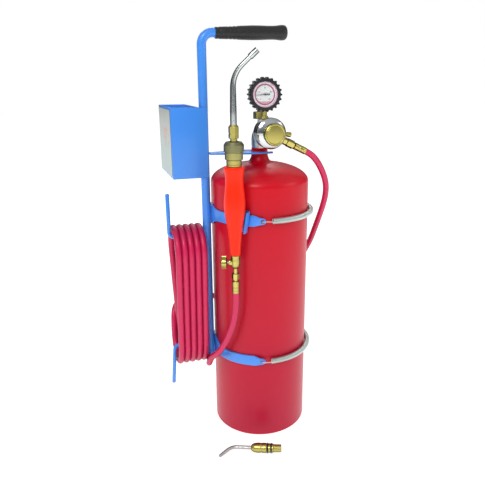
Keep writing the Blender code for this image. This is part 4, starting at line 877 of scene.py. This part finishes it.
dial_white = Finish("dial print", (236, 244, 240), 0.5)
off_centre = dial_white.node("VectorMath", "Value", {
    0: dial_white.place(), 1: tuple(gauge)}, operation="DISTANCE")
ring_print = off_centre.math("GREATER_THAN", 0.0143) * off_centre.math("LESS_THAN", 0.0161)
dial_height = dial_white.node("SeparateXYZ", "Z", {0: dial_white.place()}) - gauge.z
low_patch = dial_height.math("LESS_THAN", -0.0098) * off_centre.math("LESS_THAN", 0.0143)
dial_white.shade(ring_print * 0.97 + low_patch * 0.62, (186, 0, 100))
stands_for(lathe("dial", [(0, 0), (18.0, 0), (18.0, 0.8), (0, 0.8)], on_gauge(4.25),
                 dial_white, 72), "dial_print", "gauge_dial")
bezel = Finish("bezel ring", (240, 198, 226), 0.4)
bezel_ring = lathe("bezel", [(16.9, 0), (18.15, 0), (18.15, 3.5), (17.6, 3.5), (16.9, 0)],
                   on_gauge(5.2), bezel, 72)
rides(bezel_ring, "cart")
ink = Finish("black print", (26, 26, 34), 0.5)
for name, count, low, high in (("dial_marks", 26, 12.9, 14.4), ("dial_main_marks", 5, 12.0, 14.4)):
    mark = block("mark", (low, -0.13, 0), (high, 0.13, 0.12), ink)
    arc = radians(270)
    marks = ring_of(name, mark, on_gauge(5.1), ink, count, arc=arc * count / (count - 1),
                    start=radians(-45))
    rides(marks, "cart")
for reading in range(5):
    spot = radians(225 - 67.5 * reading)
    words = bpy.data.curves.new(f"number_{reading}", "FONT")
    words.body = str(reading * 10)
    words.size = 3.0
    words.align_x = "CENTER"
    words.align_y = "CENTER"
    words.extrude = 0.04
    sign = placed(f"number_{reading}", words)
    flat = bpy.data.meshes.new_from_object(
        sign.evaluated_get(bpy.context.evaluated_depsgraph_get()))
    bpy.data.objects.remove(sign)
    flat.materials.clear()
    flat.materials.append(ink.material)
    flat.transform(on_gauge(5.2) @ Matrix.Translation((9.6 * cos(spot), 9.6 * sin(spot), 0)))
    printed = placed(f"dial_number_{reading * 10}", flat)
    rides(printed, "cart")

needle = Finish("needle", (30, 36, 46), 0.4)
needle_turn = Matrix.Rotation(radians(184), 4, "Z")
needle_points = [(-7.4, -0.95, 0), (-7.4, 0.95, 0), (-0.5, 0.8, 0), (5, 0.5, 0), (13.5, 0.22, 0),
                 (13.5, -0.22, 0), (5, -0.5, 0), (-0.5, -0.8, 0)]
needle_points = [Vector(p) for p in needle_points] + [Vector(p) + Vector((0, 0, 0.35))
                                                      for p in needle_points]
sides_of_needle = [(n, (n + 1) % 8, (n + 1) % 8 + 8, n + 8) for n in range(8)]
pointer = piece("pointer", [on_gauge(6.4) @ needle_turn @ p for p in needle_points],
                [tuple(range(7, -1, -1)), tuple(range(8, 16))] + sides_of_needle, needle)
stands_for(pointer, "pointer_black", "gauge_pointer")
hub = lathe("pointer_hub", [(0, 0), (1.5, 0), (1.5, 0.9), (1.1, 1.1), (0, 1.1)], on_gauge(6.0),
            needle, 24)
rides(hub, "gauge_pointer")
glass = Finish("window", (250, 250, 255), 0.04, coat=1.0)
glass.set("Alpha", 0.05)
stands_for(lathe("window", [(0, 0), (18.1, 0), (18.1, 1.1), (17.6, 1.5), (0, 1.5)],
                 on_gauge(9.0), glass, 72), "gauge_window", "gauge_lens")


# The torch: an orange-red moulded handle on a brass gas tube, with a valve and knob at its foot
# and a socket at its head, where a spring-loaded collar holds the tip.
orange = Finish("orange handle plastic", (254, 42, 0), 0.36)
orange.shade(orange.noise(30, 2) * 0.25, (236, 36, 4))
orange.set("Specular IOR Level", 0.22)
handle_foot = Vector((torch.x, torch.y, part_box("torch_handle")[0].z))
stands_for(lathe("handle", [
    (3.6, 0), (7.4, 0), (8.0, 0.8), (8.2, 9), (9.2, 24.5), (11, 40), (12.8, 52), (14.3, 60),
    (15.4, 68), (15.9, 76), (15.5, 85), (14.0, 99.5), (13.2, 107), (13.0, 114), (13.4, 120),
    (14.0, 125), (14.6, 129), (14.6, 131), (13.8, 133), (3.6, 133), (3.6, 0)],
    axis_place(handle_foot), orange, 72, round_off=3.0), "handle_plastic", "torch_handle")
stands_for(softened("gas_tube", "torch_gas_tube", brass, 0.0002), "brass", "torch_gas_tube")
socket_foot = start_of("torch_socket")
socket_top = (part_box("torch_socket")[1].z - socket_foot.z) * 1000
stands_for(lathe("socket", [
    (2, 0), (10.6, 0), (11, 0.4), (11, 2.4), (10.4, 2.7), (10.4, 3.4), (11, 3.7), (11, 8.6),
    (10.4, 9.2), (7.8, 9.4), (7.8, socket_top), (2, socket_top), (2, 0)], axis_place(socket_foot),
    brass, 56), "brass", "torch_socket")
olive = Finish("dull brass", (186, 180, 116), 0.4, metallic=0.9)
olive_up = olive.node("SeparateXYZ", "Z", {0: olive.place()})
olive.shade(olive_up.math("GREATER_THAN", 0.4865) * 0.8, (134, 134, 104))
# Painted reflection: the collar darkens where it turns away from the eye.
olive.painted_dark_rims((62, 60, 30), 1.3)
collar_foot = start_of("release_collar")
collar_top = (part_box("release_collar")[1].z - collar_foot.z) * 1000
stands_for(lathe("collar", [
    (11.2, 0), (12.6, 0), (13, 0.5), (13, 9.6), (12.4, 10.2), (12.4, 11.0), (14.1, 11.4),
    (14.5, 12.0), (14.5, collar_top - 4.4), (13.9, collar_top - 3.6), (11.4, collar_top),
    (8.2, collar_top), (8.2, collar_top - 1.5), (11.2, collar_top - 3), (11.2, 0)],
    axis_place(collar_foot), olive, 72), "brass", "release_collar")

body_low, body_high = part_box("torch_valve_body")
ball = (body_high.z - body_low.z) * 1000 - 12
stands_for(lathe("torch_valve_body", [
    (1.6, 0), (3.4, 0), (3.4, ball - 18), (3.2, ball - 16), (3.0, ball - 9), (4.6, ball - 7.5),
    (6.2, ball - 5), (6.9, ball - 1), (6.9, ball + 3), (6.4, ball + 7), (6.6, ball + 8),
    (6.9, ball + 9.5), (6.9, ball + 12), (1.6, ball + 12), (1.6, 0)],
    axis_place(Vector((torch.x, torch.y, body_low.z))), brass, 48, round_off=0.8),
    "brass", "torch_valve_body")
knob_heading, knob_height = radians(161.5), 0.3205
knob_way = Vector((cos(knob_heading), sin(knob_heading), 0))
knob_axis = Vector((torch.x, torch.y, knob_height))


def on_torch_knob(reach):
    return axis_place(knob_axis + knob_way * reach / 1000, knob_way)


knob_boss = lathe("torch_valve_boss", [
    (0, 0), (5.2, 0), (5.2, 3.5), (4.5, 4.2), (4.5, 6.4), (3.4, 6.9), (0, 6.9)],
    on_torch_knob(3.6), brass, flats=(6, 4.6, 0, 4.2))
rides(knob_boss, "torch")
stands_for(softened("torch_valve_stem", "torch_valve_stem", steel, 0.0001), "steel",
           "torch_valve_stem")
stands_for(lathe("torch_knob", [
    (0, 0), (5.4, 0), (8.1, 0.9), (8.6, 1.7), (8.6, 7.2), (8.0, 8.4), (6.4, 9.3), (5.2, 9.5),
    (4.8, 9.0), (0, 9.0)], on_torch_knob(12.5), brass, 48, round_off=0.5), "brass",
    "torch_valve_knob")
lobe = block("lobe", (8.2, -1.15, 1.2), (9.5, 1.15, 7.8), brass, 0.62)
lobes = ring_of("torch_knob_lobes", lobe, on_torch_knob(12.5), brass, 14)
rides(lobes, "torch_knob")

nut_foot = start_of("torch_hose_nut")
nut_height = (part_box("torch_hose_nut")[1].z - nut_foot.z) * 1000
stands_for(lathe("torch_hose_nut", [
    (3.5, 0), (5.1, 0), (5.8, 0.6), (5.8, nut_height - 0.6), (5.1, nut_height), (3.5, nut_height),
    (3.5, 0)], axis_place(nut_foot, turned=radians(9)), brass, flats=(6, 5.03, 0, nut_height)),
    "brass", "torch_hose_nut")
ferrule_foot = start_of("torch_ferrule")
stands_for(lathe("torch_ferrule", [
    (0, 0), (5.1, 0), (5.5, 0.5), (5.5, 3.6), (5.1, 4.0), (5.1, 4.8), (5.5, 5.2), (5.5, 8.6),
    (5.1, 9), (5.1, 9.8), (5.5, 10.2), (5.5, 18.6), (5.0, 19.2), (3.4, 19.6), (3.4, 22.4),
    (0, 22.4)], axis_place(ferrule_foot), brass, 40), "brass", "torch_ferrule")


# The tip in the torch: a brass hexagon on the collar, a steel tube that narrows and bends over,
# and a burner sleeve on its end. All of it turns in the torch's head.
hex_foot = Vector((torch.x, torch.y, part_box("tip_hex")[0].z))
hex_height = (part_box("tip_hex")[1].z - hex_foot.z) * 1000
stands_for(lathe("tip_hexagon", [
    (0, 0), (5.1, 0), (5.1, hex_height - 19), (6.6, hex_height - 18.6), (7.6, hex_height - 17.9),
    (7.6, hex_height - 13.2), (7.0, hex_height - 12.8), (7.0, hex_height - 11.6),
    (7.6, hex_height - 11.2), (7.6, hex_height - 2.6), (6.4, hex_height - 1.6),
    (5.4, hex_height), (0, hex_height)], axis_place(hex_foot), brass,
    flats=(6, 6.6, hex_height - 18.8, hex_height)), "brass", "tip_hex")
tip_heading, lean = radians(-18.5), radians(47)
tip_straight, tip_bend, tip_tail = 0.056, 0.040, 0.0165
wide, narrowing = 0.0047, 0.0015
tip_side = Vector((cos(tip_heading), sin(tip_heading), 0))
tip_run = tip_side * sin(lean) + Vector((0, 0, cos(lean)))
tube_foot = Vector((torch.x, torch.y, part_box("tip_tube")[0].z))
corner = tube_foot + Vector((0, 0, tip_straight + tip_bend * tan(lean / 2)))
tube_end = corner + tip_run * (tip_bend * tan(lean / 2) + tip_tail)
tube_line = evened(bent([tube_foot, corner, tube_end], [tip_bend], 24), 0.0025)
tube_radii = [wide - narrowing * min(1, max(0, (n / (len(tube_line) - 1) - 0.2) / 0.7))
              for n in range(len(tube_line))]
chrome_tube = Finish("dark chrome tube", (226, 234, 232), 0.2, metallic=1.0)
# Painted reflection: the tube turns nearly black where it turns away from the eye.
chrome_tube.painted_dark_rims((10, 18, 20), 2.6)
stands_for(sweep("tip_tube", tube_line, tube_radii, chrome_tube, 32), "chrome_plate", "tip_tube")
stands_for(lathe("burner_sleeve", [
    (0, 3), (2.6, 3), (2.6, 0.4), (3.2, 0), (3.9, 0), (4.3, 0.5), (4.3, 13.4), (4.0, 14),
    (3.1, 14), (3.0, 5), (0, 5)], axis_place(tube_end - tip_run * 0.0020, tip_run), chrome_tube,
    36), "steel", "tip_sleeve")


# The spare tip, lying on the floor in front: a bullet-shaped brass body with two rubber rings,
# a bent steel tube and its burner end.
seal_low, seal_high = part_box("spare_tip_seal_1")
seal_2_low, seal_2_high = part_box("spare_tip_seal_2")
seal_1, seal_2 = (seal_low + seal_high) / 2, (seal_2_low + seal_2_high) / 2
spare_heading = radians(21)
spare_way = Vector((-cos(spare_heading), sin(spare_heading), 0))
spare = tank + Vector((-0.0358, -0.1176, seal_1.z))
spare_place = axis_place(spare, spare_way)
stands_for(lathe("spare_body", [
    (0, -20), (1.6, -20.2), (1.6, -32.25), (5.3, -32.25), (6.0, -31.4), (6.0, -19.6), (6.6, -19.1),
    (7.1, -18.6), (7.1, -16.8), (6.1, -16.75), (6.1, -14.5), (7.2, -14.45), (7.3, -10.85),
    (6.1, -10.8), (6.1, -8.5), (7.3, -8.45), (7.8, -7.6), (7.8, -1.2), (7.3, -0.4), (7.3, 1.2),
    (7.8, 2.0), (7.7, 8), (7.0, 12), (5.6, 15.2), (3.9, 17.0), (2.9, 17.25), (0, 17.25)],
    spare_place, brass, 56, round_off=0.4), "brass", "spare_tip_body")
seal_reach, seal_radius = 0.00735, 0.001
for node, seal in (("spare_tip_seal_1", seal_1), ("spare_tip_seal_2", seal_2)):
    across = Vector((0, 0, 1))
    third = spare_way.cross(across)
    turns_of_seal = [2 * pi * n / 48 for n in range(48)]
    seal_line = [seal + seal_reach * (across * cos(turn) + third * sin(turn))
                 for turn in turns_of_seal]
    stands_for(sweep(node + "_ring", seal_line, seal_radius, black_rubber, 12, closed=True),
               "black_rubber", node)
roll = radians(-100)
level_side = Vector((sin(spare_heading), cos(spare_heading), 0))
spare_side = Vector((0, 0, 1)) * cos(roll) + level_side * sin(roll)
spare_bend, spare_curve, spare_straight, spare_tail = radians(48), 0.018, 0.032, 0.018
spare_run = spare_side * sin(spare_bend) + spare_way * cos(spare_bend)
spare_foot = spare + spare_way * 0.0094
spare_corner = spare_foot + spare_way * (spare_straight + spare_curve * tan(spare_bend / 2))
spare_end = spare_corner + spare_run * (spare_curve * tan(spare_bend / 2) + spare_tail)
spare_line = evened(bent([spare_foot, spare_corner, spare_end], [spare_curve], 16), 0.0015)
spare_radii = [0.0027 if n < len(spare_line) - 5 else 0.0024 for n in range(len(spare_line))]
spare_radii[-1] = 0.0019
spare_tube_steel = Finish("spare tip tube", (198, 200, 196), 0.3, metallic=1.0)
# Painted reflection: the spare tube darkens where it turns away from the eye.
spare_tube_steel.painted_dark_rims((60, 62, 62), 1.4)
stands_for(sweep("spare_tube", spare_line, spare_radii, spare_tube_steel, 28), "steel", "spare_tip_tube")


# The parts inside, which nothing shows of from outside: they keep the frame's own shapes.
mass = Finish("porous filling", (206, 200, 186), 0.9)
mass.relief(mass.noise(400, 4), 0.0004)
for node, finish in (("porous_filler", mass), ("bourdon_tube", brass),
                     ("regulator_poppet", steel), ("range_spring", steel),
                     ("spring_button", steel), ("collar_spring", steel)):
    shown = frame["nodes"][node].data
    shown.materials.clear()
    shown.materials.append(finish.material)
